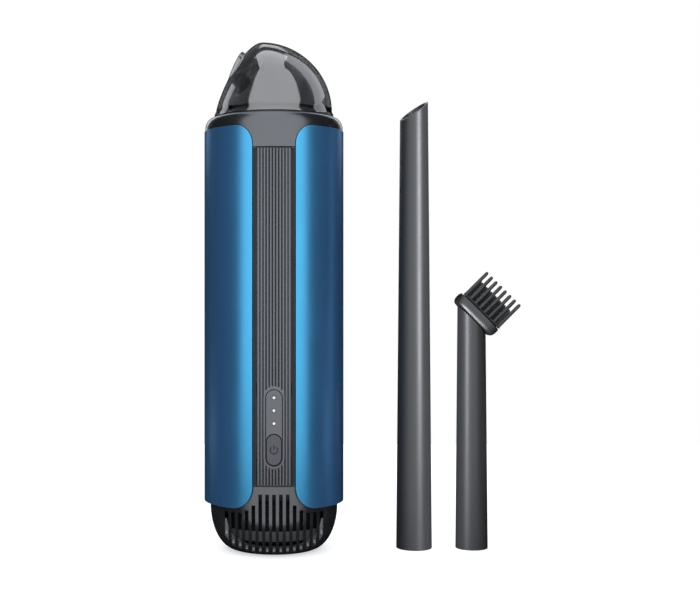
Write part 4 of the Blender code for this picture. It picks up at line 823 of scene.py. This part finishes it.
# ------------------------------------------------------------------ control and charge boards
# Green glass-epoxy boards: the control board stands behind the button, and the charge board lies under the socket.
# Black chips and a switch are soldered on; the copper tracks show through the lacquer.
circuit_green, tree, shader = new_finish("green_circuit_board", "circuit_green", Coat_Weight=0.4)
tracks = cells_over(tree, Scale=0.35, Randomness=0.8)
tracks.distance = "MANHATTAN"
ladder = maths(tree, "PINGPONG", maths(tree, "MULTIPLY", tracks.outputs["Distance"], 4.0), 0.5)
track = maths(tree, "GREATER_THAN", ladder, 0.27)
texture = place_group(tree, moulded_grain, Grain=2.0)
lacquer = mixed(tree, ranged(tree, texture["Drift"], 0.0, 1.0), (0.006, 0.1, 0.04), (0.01, 0.14, 0.06))
surfaced(tree, shader, mixed(tree, track, lacquer, (0.02, 0.24, 0.1)), ranged(tree, texture["Tone"], 0.3, 0.45),
         bumped(tree, track, 0.03))

board_low = BUTTON_Z - 7
board_holes = [moved(rod(0.8, 20, 30, 20), to_front(x, z))
               for x in (-7.4, 7.4) for z in (board_low + 2.2, board_low + 33.8)]
made("control_board_panel", block((-9, -BOARD_FRONT, board_low), (9, -BOARD_FRONT + 1.6, board_low + 36)), (0.08, 1),
     circuit_green, "control_board", cut=[joined(board_holes)])
chip_back = -BOARD_FRONT + 1.6
chips = [((-3.0, 18.0), (6.0, 6.0, 1.0)), ((-5.2, 27.5), (4.0, 5.0, 1.2)), ((2.0, 27.0), (3.0, 3.0, 1.4)),
         ((5.0, 12.0), (3.5, 2.2, 1.1)), ((-5.5, 10.5), (2.6, 1.6, 0.8)), ((4.8, 20.0), (1.6, 3.2, 0.8))]
chips = [block((x - w / 2, chip_back, board_low + z - h / 2), (x + w / 2, chip_back + t, board_low + z + h / 2))
         for (x, z), (w, h, t) in chips]
made("control_chips", joined(chips), 0.12, inner_plastic)
switch_holes = [moved(rod(0.45, 29.2, 30, 16), to_front(x, BUTTON_Z + z)) for x in (-1.6, 1.6) for z in (-1.6, 1.6)]
made("tact_switch", block((-2.25, -BOARD_FRONT - 1.5, BUTTON_Z - 2.25), (2.25, -BOARD_FRONT - GAP, BUTTON_Z + 2.25)),
     0.12, steel, "switch_body", cut=[joined(switch_holes)])
charge_top = SOCKET_Z - 1.9
made("charge_board_panel", block((-7, 20.84, charge_top - 1.0), (7, math.sqrt(HOUSING_R**2 - 49) - 0.4, charge_top)),
     (0.08, 1), circuit_green, "charge_board")
made("charge_chips", joined([block((x - 0.9, 22.0, charge_top - 1.0 - t), (x + 0.9, 24.2, charge_top - 1.0))
                             for x, t in ((-4.5, 0.9), (-1.5, 1.2), (1.5, 0.7), (4.5, 1.0))]), 0.1, inner_plastic)

# ------------------------------------------------------------------ battery
# Three lithium cells in shrink wrap stand between a moulded tray and a top holder; their steel cans show at the ends.
# The holders' pockets locate the cells, and vents between them let the exhaust air past.
CELL_R = 9.15
CELL_RING_R = (2 * CELL_R + 3 * GAP) / math.sqrt(3)
TRAY_Z, POCKET_FLOOR, TRAY_T = NECK_TOP + GAP, 2.0, 5.0
CELL_Z = TRAY_Z + POCKET_FLOOR + GAP
CELL_TOP = CELL_Z + 65.0
HOLDER_Z = CELL_TOP + GAP + POCKET_FLOOR - TRAY_T


def ring_of(count, radius, shape, start=0.0):
    """Copies of a shape set out along X by a radius and turned about Z."""
    out = Matrix.Translation((radius, 0, 0))
    turns = [Matrix.Rotation(start + 2 * math.pi * i / count, 4, "Z") for i in range(count)]
    return joined([moved(shape, turn @ out) for turn in turns])


cell_wrap = moulded("shrink_wrap", "cell_wrap", (0.012, 0.16, 0.2), (0.02, 0.2, 0.25), (0.25, 0.36), 0.5, 0.04, 0.25,
                    Coat_Weight=0.3)
sleeve = [(CELL_R, CELL_Z + 0.2), (CELL_R, CELL_TOP - 4.6), (CELL_R - 0.35, CELL_TOP - 4.1),
          (CELL_R - 0.35, CELL_TOP - 3.4), (CELL_R, CELL_TOP - 2.9), (CELL_R, CELL_TOP - 1.2),
          (CELL_R - 0.3, CELL_TOP - 0.95), (CELL_R - 2.2, CELL_TOP - 0.95), (CELL_R - 2.2, CELL_TOP - 1.2),
          (CELL_R - 0.6, CELL_TOP - 1.3), (CELL_R - 0.6, CELL_Z + 0.5), (CELL_R - 2.6, CELL_Z + 0.4),
          (CELL_R - 2.6, CELL_Z), (CELL_R - 0.25, CELL_Z)]
can = [(CELL_R - 0.65, CELL_Z + 0.6), (CELL_R - 0.65, CELL_TOP - 5.2), (CELL_R - 1.1, CELL_TOP - 4.0),
       (CELL_R - 0.7, CELL_TOP - 1.4), (3.9, CELL_TOP - 1.3), (3.6, CELL_TOP - 0.1), (3.3, CELL_TOP), (0.5, CELL_TOP)]
for i in range(3):
    at_cell = Matrix.Translation(polar(CELL_RING_R, math.pi / 2 + 2 * math.pi * i / 3, 0))
    made(f"cell_{i + 1}_wrap", moved(turned(sleeve, 72), at_cell), (0.0, 2, 60), cell_wrap, f"battery_cell_{i + 1}")
    made(f"cell_{i + 1}_can", moved(turned(can, 72, closed=False), at_cell), 0.0, steel)
vent_r = HOUSING_R - CELL_RING_R - 14.0
for name, node, low, pocket_low, pocket_high in (
        ("battery_foot_tray", "battery_tray", TRAY_Z, TRAY_Z + POCKET_FLOOR, TRAY_Z + TRAY_T + 1),
        ("battery_head_holder", "battery_top_holder", HOLDER_Z, HOLDER_Z - 1, HOLDER_Z + TRAY_T - POCKET_FLOOR)):
    pockets = ring_of(3, CELL_RING_R, rod(CELL_R + GAP, pocket_low, pocket_high, 64), math.pi / 2)
    vents = ring_of(3, CELL_RING_R + 9.4, rod(vent_r, low - 1, low + TRAY_T + 1, 32), math.pi / 6)
    made(name, turned([(HOUSING_R - GAP, low), (HOUSING_R - GAP, low + TRAY_T)], closed=False), 0.25, inner_plastic,
         node, cut=[pockets, vents])

# ------------------------------------------------------------------ motor driver board
# A round green board on the battery holder, with the motor's leads soldered round its middle hole.
# Two capacitors and six power transistors stand on it.
DRIVER_Z = HOLDER_Z + TRAY_T + GAP


def raised(level, profile):
    """(radius, height) points set on a level."""
    return [(radius, level + z) for radius, z in profile]


made("driver_board_disc", turned(raised(DRIVER_Z, [(22.0, 0.0), (22.0, 1.6)]), closed=False), (0.08, 1), circuit_green,
     "motor_driver_board", cut=[rod(4, DRIVER_Z - 1, DRIVER_Z + 3, 40)])
capacitor = turned(raised(DRIVER_Z, [(3.9, 1.6), (3.9, 2.6), (3.6, 2.9), (3.9, 3.2), (3.9, 12.2), (3.5, 12.6)]), 48,
                   closed=False)
made("driver_capacitors", joined([moved(capacitor, Matrix.Translation((x, -13, 0))) for x in (-5, 5)]), 0.0, cell_wrap)
made("driver_transistors", ring_of(6, 13.5, block((-2.3, -3.0, DRIVER_Z + 1.6), (2.3, 3.0, DRIVER_Z + 3.6))), 0.15,
     inner_plastic, cut=[block((-12, -22, DRIVER_Z), (12, -6.5, DRIVER_Z + 6))])

# ------------------------------------------------------------------ motor
# A brushless motor hangs by its moulded housing in a rubber ring that keeps its buzz off the skin.
# Drawn steel can, copper windings on a laminated ring, two ball bearings, a magnet and a ground shaft.
SHAFT_R, CAN_R = 1.5, 14.1
MOTOR_HOUSING_R = NECK_R - 3.1 - GAP
MOTOR_IN_R = MOTOR_HOUSING_R - 2.0
FLANGE_Z = MOUNT_SEAT + 5.0 + 2 * GAP
CAN_TOP, CAN_LOW = MOUNT_SEAT - 0.3, MOUNT_SEAT - 27.3
IMPELLER_Z = MOUNT_SEAT + 1.5

made("motor_rubber_ring", turned(raised(MOUNT_SEAT + GAP, [(NECK_R, 0.0), (NECK_R, 1.4), (NECK_R - 0.7, 2.0),
                                                           (NECK_R - 0.7, 3.0), (NECK_R, 3.6), (NECK_R, 5.0),
                                                           (NECK_R - 3.1, 5.0), (NECK_R - 3.1, 0.0)])),
     0.25, rubber_black, "motor_mount")
casing_profile = [(NECK_R, FLANGE_Z + 2), (NECK_R, FLANGE_Z), (MOTOR_HOUSING_R, FLANGE_Z),
                  (MOTOR_HOUSING_R, MOUNT_SEAT - 26), (MOTOR_IN_R, MOUNT_SEAT - 26), (MOTOR_IN_R, MOUNT_SEAT - 2),
                  (CAN_R + GAP, MOUNT_SEAT - 2), (CAN_R + GAP, MOUNT_SEAT), (MOTOR_IN_R, MOUNT_SEAT),
                  (MOTOR_IN_R, FLANGE_Z + 2)]
window_r = (MOTOR_IN_R - CAN_R) / 2 - 1.5
made("motor_casing", turned(casing_profile), 0.2, inner_plastic, "motor_housing",
     cut=[ring_of(8, (MOTOR_IN_R + CAN_R) / 2, rod(window_r, MOUNT_SEAT - 3, MOUNT_SEAT + 1, 40))])


def tube(outer, inner, bottom, top, count=FINE):
    return turned([(outer, top), (outer, bottom), (inner, bottom), (inner, top)], count)


hole_r = SHAFT_R + 0.7
can_profile = [(CAN_R, CAN_TOP), (CAN_R, CAN_LOW + 1.2), (CAN_R - 0.35, CAN_LOW + 0.35), (CAN_R - 1.2, CAN_LOW),
               (5.2, CAN_LOW), (4.8, CAN_LOW), (hole_r, CAN_LOW), (hole_r, CAN_LOW + 1.5),
               (CAN_R - 1.5, CAN_LOW + 1.5), (CAN_R - 1.5, CAN_TOP)]
made("drawn_motor_can", turned(can_profile, 96), 0.1, steel, "motor_can",
     cut=[ring_of(6, 9.2, rod(1.9, CAN_LOW - 1, CAN_LOW + 2, 28))])
plate_z = CAN_TOP - 2.6
made("motor_end_disc", tube(CAN_R - 1.8, 4.3, plate_z, plate_z + 2.4, 96), 0.12, steel, "motor_end_plate",
     cut=[ring_of(6, 8.4, rod(1.5, plate_z - 1, plate_z + 3, 28))])
races = [(4.0, 0.0), (3.3, 0.0), (3.2, 0.25), (2.6, 0.25), (2.5, 0.0), (1.8, 0.0),
         (1.8, 2.4), (2.5, 2.4), (2.6, 2.15), (3.2, 2.15), (3.3, 2.4), (4.0, 2.4)]
for name, low in (("upper_bearing", plate_z), ("lower_bearing", CAN_LOW + 1.5 + GAP)):
    made(name + "_races", turned(raised(low, races), 64), (0.06, 1), steel, name)

magnet_z = (CAN_LOW + 1.5 + plate_z) / 2 - 6.5
made("stator_core", tube(CAN_R - 1.8, CAN_R - 3.2, magnet_z, magnet_z + 13.0, 96), 0.1, steel, "stator",
     join=[ring_of(9, 0, block((8.5, -1.0, magnet_z + 2.0), (11.4, 1.0, magnet_z + 11.0)))])
copper_winding = machined("enamelled_copper", "copper_winding", (0.5, 0.17, 0.06), (0.66, 0.25, 0.1), (0.25, 0.4), 0.12,
                          3.0)
coil_low, coil_high = magnet_z + 0.6, magnet_z + 12.4
coil = loft([[(x, side * (1.25 + swell), z)
              for side, z in ((-1, coil_low - swell), (1, coil_low - swell),
                              (1, coil_high + swell), (-1, coil_high + swell))]
             for x, swell in ((8.7, 0.0), (9.1, 0.3), (9.9, 0.55), (10.5, 0.3), (10.8, 0.0))])
made("stator_coils", ring_of(9, 0, coil), (0.4, 3), copper_winding)
dark_steel = machined("sintered_magnet", "steel", (0.1, 0.1, 0.105), (0.15, 0.15, 0.155), (0.35, 0.5))
made("rotor_magnet_ring", tube(7.8, 1.8, magnet_z + 0.5, magnet_z + 12.5, 72), 0.2, dark_steel, "rotor_magnet",
     cut=[ring_of(4, 7.9, block((-0.5, -0.35, magnet_z), (0.5, 0.35, magnet_z + 13)), math.pi / 4)], body="rotor")
made("ground_shaft", turned([(1.2, CAN_LOW - 1.5), (SHAFT_R, CAN_LOW - 1.2), (SHAFT_R, IMPELLER_Z + 7.7),
                             (1.2, IMPELLER_Z + 8.0)], 48, closed=False), 0.0, steel, "motor_shaft", body="rotor")

# ------------------------------------------------------------------ impeller and shroud
# Centrifugal wheel of white nylon with nine swept blades, pressed on the shaft under a moulded shroud.
# A soft ring seals the shroud's eye against the filter seat.
BLADE_COUNT, BLADE_SWEEP = 9, 0.9

fan_white = moulded("white_nylon", "fan_white", (0.62, 0.62, 0.6), (0.7, 0.7, 0.68), (0.38, 0.48), 2.5, 0.01, 0.1)
disc_top = IMPELLER_Z + 1.2
wheel_r = MOTOR_IN_R - 1.7
wheel_profile = [(3.4, IMPELLER_Z + 7), (5.0, IMPELLER_Z + 6.2), (5.2, IMPELLER_Z + 3), (6.4, disc_top + 0.3),
                 (8.0, disc_top), (wheel_r, disc_top), (wheel_r, IMPELLER_Z), (1.8, IMPELLER_Z), (1.8, IMPELLER_Z + 7)]
blades = []
for i in range(BLADE_COUNT):
    columns = []
    for step in range(17):
        share = step / 16
        radius = 6.5 + (wheel_r - 7.0) * share
        angle = 2 * math.pi * i / BLADE_COUNT - BLADE_SWEEP * share
        half = 0.45 / radius
        low, high = disc_top - 0.6, IMPELLER_Z + 7 - 2.0 * share
        columns.append([polar(radius, angle + side * half, z)
                        for side, z in ((-1, low), (1, low), (1, high), (-1, high))])
    blades.append(loft(columns))
made("fan_wheel", turned(wheel_profile), 0.15, fan_white, "impeller", join=[joined(blades)], body="rotor")

SHROUD_Z = FLANGE_Z + 2.0 + GAP
shroud_top = SHROUD_Z + 5.3
shroud_profile = [(MOTOR_HOUSING_R, shroud_top), (MOTOR_HOUSING_R, SHROUD_Z), (MOTOR_IN_R, SHROUD_Z),
                  (MOTOR_IN_R, shroud_top - 2), (12.6, shroud_top - 2), (11.5, shroud_top - 2),
                  (11.0, shroud_top - 1.4), (11.0, shroud_top)]
made("fan_shroud_cover", turned(shroud_profile), 0.15, inner_plastic, "fan_shroud",
     cut=[ring_of(24, 23.5, block((0, -0.4, shroud_top - 0.5), (2.9, 0.4, shroud_top + 1)))])
made("shroud_lip_seal", tube(24.2, 21.0, shroud_top + GAP, FILTER_SEAT_Z - 2 - GAP, 96), (0.3, 3), rubber_black,
     "shroud_seal")

# ------------------------------------------------------------------ filter
# A washable filter that lifts out of the seat: a nylon cage, a band of pleated paper and a fine steel screen round it.
# The paper is glued between the rim and the top disc.
FILTER_RIM_R = SKIRT_IN_R - 0.4
PLEAT_R, PLEAT_DEPTH, PLEATS = 17.9, 3.7, 24
rim_low = FILTER_SEAT_Z + GAP
rim_top, cage_top = rim_low + 2.0, rim_low + 16.0
lid_low = cage_top - 2.0
lid_r = PLEAT_R + GAP + 1.9
posts = ring_of(6, PLEAT_R + GAP, block((0, -1.2, rim_top - 0.5), (1.6, 1.2, lid_low + 0.5)))
lid = turned([(lid_r, lid_low), (lid_r, cage_top - 0.5), (lid_r - 0.5, cage_top), (12.4, cage_top),
              (12.0, cage_top - 0.4), (4.4, cage_top - 0.4), (4.0, cage_top)], 120, closed=False)
made("filter_cage", tube(FILTER_RIM_R, PLEAT_R - PLEAT_DEPTH - 1.7, rim_low, rim_top, 120), 0.15, inner_plastic,
     "filter_frame", join=[lid, posts], body="filter")

filter_paper = moulded("pleated_paper", "filter_paper", (0.6, 0.59, 0.55), (0.72, 0.71, 0.67), (0.85, 0.95), 4.0, 0.04,
                       Specular_IOR_Level=0.15)
rings = []
for offset, z in ((0, lid_low - GAP), (0, rim_top + GAP), (0.6, rim_top + GAP), (0.6, lid_low - GAP)):
    ring = []
    for i in range(PLEATS * 8):
        fold = abs(2 * ((i / 8) % 1.0) - 1)
        ring.append(polar(PLEAT_R - offset - PLEAT_DEPTH * (1 - fold), 2 * math.pi * i / (PLEATS * 8), z))
    rings.append(ring)
made("paper_pleats", loft(rings, closed=True), (0.0, 2, 50), filter_paper, "filter_pleats", body="filter")

woven_screen = machined("woven_screen", "steel", (0.4, 0.41, 0.42), (0.55, 0.56, 0.57), (0.3, 0.42))
tree = woven_screen.node_tree
apart = tree.nodes.new("ShaderNodeSeparateXYZ")
tree.links.new(own_place(tree), apart.inputs[0])
around = maths(tree, "ARCTAN2", apart.outputs[1], apart.outputs[0])
threads = [maths(tree, "PINGPONG", maths(tree, "MULTIPLY", value, share), 0.5)
           for value, share in ((around, 32.0), (apart.outputs[2], 1550.0))]
wire = maths(tree, "GREATER_THAN", maths(tree, "MAXIMUM", *threads), 0.33)
tree.links.new(wire, tree.nodes["Principled BSDF"].inputs["Alpha"])
made("filter_screen_weave", tube(lid_r + GAP + 0.5, lid_r + GAP, rim_top + GAP, cage_top - 0.2, 120), 0.0,
     woven_screen, "filter_screen", body="filter")

# ------------------------------------------------------------------ dust cup
# A smoked, clear polycarbonate dome that pulls off the collar, moulded with its angled mouth and the flap's ears.
# Its skirt slips inside the collar, and a flange stops it at the seam.
CUP_HEIGHT, CUP_APEX_X, CUP_WALL, CUP_BASE_Z = 34.0, -6.4, 1.8, SEAM_Z + 3.6
FLANGE_R, FLANGE_LOW, FLANGE_T = SEAM_R - 1.2, SEAM_Z + 0.9, 1.2
MOUTH_ANGLE, MOUTH_HEIGHT = math.radians(35), 21.8
BORE_R, MOUTH_WALL, TUBE_DEPTH = 8.8, 0.8, 9.0
LIP_BALL_R, LIP_BALL_OUT, LIP_BALL_ANGLE = 20.3, 19.46, math.radians(24.6)
PIN_HOLE_R = 0.9


def left_share(height_share):
    """The mouth side of the dome leans in sooner than the round side."""
    return max(1 - height_share**1.25, 0.0) ** 0.64


def dome_ring(turn, wall):
    """One level of the dome; its left half is a shorter ellipse than its right half."""
    lift, shrink = math.sin(turn), math.cos(turn)
    radius = (CUP_R - wall) * shrink
    centre = CUP_APEX_X * (1 - shrink)
    left = (CUP_R - wall + CUP_APEX_X) * left_share(lift) - CUP_APEX_X * shrink
    return [(centre + (radius if x >= 0 else left) * x, radius * y, CUP_BASE_Z + (CUP_HEIGHT - wall) * lift)
            for x, y, _ in circle(1.0, 0)]


def set_out(place, along, out):
    """Sets a shape at a place, with its X along one direction and its Z along another."""
    return Matrix.Translation(place) @ Matrix((along, out.cross(along), out)).transposed().to_4x4()


smoke_clear, tree, shader = new_finish("smoked_polycarbonate", "smoke_clear", Transmission_Weight=1.0, IOR=1.58,
                                       Coat_Weight=1.0, Coat_IOR=1.68, Coat_Roughness=0.04)
texture = place_group(tree, moulded_grain, Grain=0.35, Patch=0.06)
smoke = mixed(tree, ranged(tree, texture["Drift"], 0.0, 1.0), (0.16, 0.165, 0.175), (0.2, 0.205, 0.215))
# The edges are painted paler, a painted highlight.
surfaced(tree, shader, edge_highlighted(tree, smoke, (0.4, 0.41, 0.43), 0.2, Width=0.35, Break=0.8),
         ranged(tree, texture["Tone"], 0.03, 0.07), bumped(tree, texture["Height"], 0.02))

mouth_x = CUP_APEX_X - (CUP_R + CUP_APEX_X) * left_share(MOUTH_HEIGHT / CUP_HEIGHT) - 1.55
mouth_centre = Vector((mouth_x, 0, CUP_BASE_Z + MOUTH_HEIGHT))
mouth_out = Vector((-math.cos(MOUTH_ANGLE), 0, math.sin(MOUTH_ANGLE)))
mouth_across = Vector((math.sin(MOUTH_ANGLE), 0, math.cos(MOUTH_ANGLE)))
at_mouth = set_out(mouth_centre, mouth_across, mouth_out)
at_pin = at_mouth @ to_front(BORE_R + 1.1, -TUBE_DEPTH - 2.0)

turns = [math.radians(85 * (1 - (1 - i / 26) ** 1.25)) for i in range(27)]
outside = [circle(SKIRT_R, SKIRT_Z), circle(SKIRT_R, FLANGE_LOW), circle(FLANGE_R, FLANGE_LOW),
           circle(FLANGE_R, FLANGE_LOW + FLANGE_T)]
inside = [circle(SKIRT_IN_R, SKIRT_Z - 1), circle(SKIRT_IN_R, FLANGE_LOW + FLANGE_T)]
dome = form("clear_dome", loft(outside + [dome_ring(turn, 0.0) for turn in turns]))
carve(dome, loft(inside + [dome_ring(turn, CUP_WALL) for turn in turns]))
# The mouth's tube is trimmed by a ball, so that its lip runs round in a curve.
snout = form("mouth_tube", moved(rod(BORE_R + MOUTH_WALL, -TUBE_DEPTH, 5, 120), at_mouth))
lip_middle = mouth_centre + LIP_BALL_OUT * Vector((math.cos(LIP_BALL_ANGLE), 0, -math.sin(LIP_BALL_ANGLE)))
ball = [(LIP_BALL_R * math.sin(a), -LIP_BALL_R * math.cos(a)) for a in [math.pi * (i + 0.5) / 80 for i in range(80)]]
carve(snout, moved(turned(ball, closed=False), to_front(lip_middle.x, lip_middle.z)), "INTERSECT")
snout_points = [tuple(vertex.co / MM) for vertex in snout.data.vertices]
carve(dome, (snout_points, [tuple(face.vertices) for face in snout.data.polygons]), "UNION")
bpy.data.objects.remove(snout)
ear_low = BORE_R + MOUTH_WALL - 0.6
ears = [moved(block((ear_low - 2.0, y, -TUBE_DEPTH - 3.4), (ear_low + 3.8, y + 1.6, -TUBE_DEPTH + 2)), at_mouth)
        for y in (5.6, -7.2)]
carve(dome, joined(ears), "UNION")
carve(dome, moved(rod(BORE_R, -TUBE_DEPTH - 0.2, 12, 120), at_mouth))
carve(dome, moved(rod(BORE_R, -TUBE_DEPTH - 4.5, -TUBE_DEPTH + 0.5, 120), at_mouth))
carve(dome, moved(rod(PIN_HOLE_R, -12, 12, 28), at_pin))
made(None, dome, (0.2, 2, 40), smoke_clear, "dust_cup", body="cup")

pin = turned([(0.45, -7.2), (0.6, -7.0), (0.6, 7.0), (0.45, 7.2)], 28, closed=False)
made("flap_hinge_pin", moved(pin, at_pin), 0.0, steel, "flap_pin", body="cup")
made("nozzle_stop_ring", moved(tube(BORE_R - GAP, BORE_R - 1.6, -TUBE_DEPTH + GAP, -4.5, 120), at_mouth), 0.2,
     inner_plastic, "inlet_socket", body="cup")
made("cup_seal_ring", tube(SKIRT_R, SKIRT_IN_R + 0.6, SKIRT_Z - 1.3, SKIRT_Z - 0.3), (0.3, 3), rubber_black,
     "cup_gasket", body="cup")
made("cup_seam_ring", tube(FLANGE_R - 0.35, SKIRT_R, SEAM_Z + 0.08, FLANGE_LOW), 0.1, rubber_black, body="cup")

# ------------------------------------------------------------------ inlet flap
# A soft rubber flap that closes the mouth from inside, so that dust stays in the cup when the motor stops.
# It hangs by a knuckle on the steel pin between the dome's ears.
flap_face = -TUBE_DEPTH - GAP
flap_profile = raised(flap_face, [(BORE_R - 0.5, -1.0), (BORE_R - 0.5, -0.2), (BORE_R - 0.9, 0.0), (5.6, 0.0),
                                  (5.4, -0.3), (4.8, -0.3), (4.6, 0.0)])
arm = block((BORE_R - 2.1, -5.3, flap_face - 1.6), (BORE_R + 1.1, 5.3, flap_face - 0.2))
made("rubber_flap", moved(turned(flap_profile, 96, closed=False), at_mouth), 0.12, rubber_black, "inlet_flap",
     join=[moved(arm, at_mouth), moved(rod(1.6, -4.9, 4.9, 40), at_pin)],
     cut=[moved(rod(PIN_HOLE_R, -12, 12, 28), at_pin)], body="flap")

# ------------------------------------------------------------------ crevice nozzle
# A long tapered tube of satin polypropylene with a slanted mouth, loose; its base is the end that fits the cup's mouth.
# The lips are rounded over.
CREVICE_X, CREVICE_LENGTH = 68.6, 213.9
NOZZLE_R, NOZZLE_TIP_R, NOZZLE_WALL = BORE_R - 0.1, 6.85, 1.2

nozzle_grey = moulded("satin_polypropylene", "nozzle_grey", (0.022, 0.0223, 0.0228), (0.028, 0.0284, 0.029),
                      (0.34, 0.39), 2.6, 0.008, 0.2, Specular_IOR_Level=0.3)


def slanted_tube(middle_x, base_r, top_of):
    """A tapered tube that ends on a slant; top_of gives its height above a point of the plan."""
    shares = [i / 12 for i in range(13)]
    rings = []
    for inset, share in [(0.0, share) for share in shares] + [(NOZZLE_WALL, share) for share in reversed(shares)]:
        plan = circle(base_r + (NOZZLE_TIP_R - base_r) * share - inset, 0)
        rings.append([(middle_x + x, y, top_of(x, y) * share) for x, y, _ in plan])
    return loft(rings, closed=True)


made("crevice_tube", slanted_tube(CREVICE_X, NOZZLE_R, lambda x, y: CREVICE_LENGTH + 0.68 * x + 0.25 * y), (0.35, 3),
     nozzle_grey, "crevice_nozzle", body="crevice")

# ------------------------------------------------------------------ brush nozzle
# A shorter tapered tube cut at 45 degrees, with a rounded collar plugged into it that carries the bristles.
# The tube is the crevice nozzle's satin polypropylene; the collar is moulded in a darker, duller grade of it.
BRUSH_X, BRUSH_BASE_R = 96.8, 7.85
HEAD_Z, HEAD_LENGTH, HEAD_WIDTH, HEAD_T = 112.0, 25.5, 17.0, 5.1
LOW_EDGE, LOW_EDGE_HEIGHT, TOP_EDGE, TOP_EDGE_HEIGHT = 3.8, 3.0, 1.2, 0.7
at_head = set_out((BRUSH_X, 0, HEAD_Z), Vector((1, 0, -1)).normalized(), Vector((1, 0, 1)).normalized())


def rounded_oblong(length, width, z):
    """Superellipse outline, nearly a rectangle with round ends."""
    return [(math.copysign(abs(x) ** 0.5, x) * length / 2, math.copysign(abs(y) ** 0.5, y) * width / 2, z)
            for x, y, _ in circle(1.0, 0, 96)]


made("brush_stem", slanted_tube(BRUSH_X, BRUSH_BASE_R, lambda x, y: HEAD_Z - x - GAP * math.sqrt(2)), (0.3, 3),
     nozzle_grey, "brush_tube", body="brush")

collar_grey = moulded("satin_collar", "nozzle_grey", (0.009, 0.009, 0.0092), (0.013, 0.013, 0.0133), (0.36, 0.42), 2.6,
                      0.008, 0.2, Specular_IOR_Level=0.5)
edge_turns = [math.pi / 2 * i / 5 for i in range(6)]
levels = [(LOW_EDGE * (1 - math.sin(a)), LOW_EDGE_HEIGHT * (1 - math.cos(a))) for a in edge_turns]
levels += [(TOP_EDGE * (1 - math.cos(a)), HEAD_T - TOP_EDGE_HEIGHT + TOP_EDGE_HEIGHT * math.sin(a)) for a in edge_turns]
outline = [rounded_oblong(HEAD_LENGTH - inset, HEAD_WIDTH - inset, z) for inset, z in levels]
at_stem = Matrix.Translation((BRUSH_X, 0, 0))
spigot_r = NOZZLE_TIP_R - NOZZLE_WALL - GAP
brush_head = made("brush_head_collar", moved(loft(outline), at_head), (0.2, 2, 40), collar_grey, "brush_collar",
                  join=[moved(rod(spigot_r, HEAD_Z - 9, HEAD_Z + 2.5, 80), at_stem)],
                  cut=[moved(rod(spigot_r - NOZZLE_WALL, HEAD_Z - 10, HEAD_Z + 4.0, 80), at_stem),
                       moved(loft([rounded_oblong(HEAD_LENGTH - 9, 6.0, z) for z in (2.4, 12)]), at_head)],
                  body="brush")
for light in ("brush", "rim"):
    lit[light].objects.unlink(brush_head)
lit["head"].objects.link(brush_head)

# Bundled nylon filaments: fine streaks along the tufts, and a silkier gloss than the mouldings.
bristle_black, tree, shader = new_finish("nylon_bristle", "bristle_black", Sheen_Weight=0.1)
along_tufts = tree.nodes.new("ShaderNodeVectorRotate")
along_tufts.rotation_type = "Y_AXIS"
along_tufts.inputs["Angle"].default_value = math.radians(-45)
tree.links.new(own_place(tree), along_tufts.inputs["Vector"])
streaks = noise(tree, along_tufts.outputs[0], 4.0, 1.0, (1, 1, 0.06))
surfaced(tree, shader, mixed(tree, ranged(tree, streaks, 0.0, 1.0), (0.008, 0.008, 0.0085), (0.03, 0.0305, 0.0315)),
         ranged(tree, streaks, 0.5, 0.36), bumped(tree, streaks, 0.12))

BAR_LOW, BAR_T, TUFT_R, TUFT_PITCH = HEAD_T + GAP, 0.6, 0.9, 3.15
bar_high = BAR_LOW + BAR_T
bar_shape = loft([rounded_oblong(HEAD_LENGTH - inset - 1.2, 3.8 - inset, z)
                  for inset, z in ((0.4, BAR_LOW), (0.0, BAR_LOW + 0.2), (0.0, bar_high - 0.2), (0.4, bar_high))])
for name, node, bar_y, rows in (
        ("front_bristle_bar", "front_bristles", -5.5, ((0.0, 0.0, 8, 16.0),)),
        ("rear_bristle_bar", "rear_bristles", 5.5, ((0.0, -1.15, 7, 12.2), (TUFT_PITCH / 2, 1.15, 7, 12.2)))):
    place = at_head @ Matrix.Translation((0, bar_y, 0))
    tufts = []
    for row_x, row_y, count, length in rows:
        tip = HEAD_T + length
        tuft = turned([(TUFT_R, bar_high - 0.4), (TUFT_R * 0.97, tip - 1.2), (TUFT_R * 0.8, tip - 0.45),
                       (TUFT_R * 0.45, tip - 0.08), (TUFT_R * 0.2, tip)], 28, closed=False)
        for i in range(count):
            at_tuft = Matrix.Translation((row_x + (i - (count - 1) / 2) * TUFT_PITCH, row_y, 0))
            tufts.append(moved(tuft, place @ at_tuft))
    made(name, moved(bar_shape, place), (0.0, 2, 50), bristle_black, node, join=[joined(tufts)], body="brush")
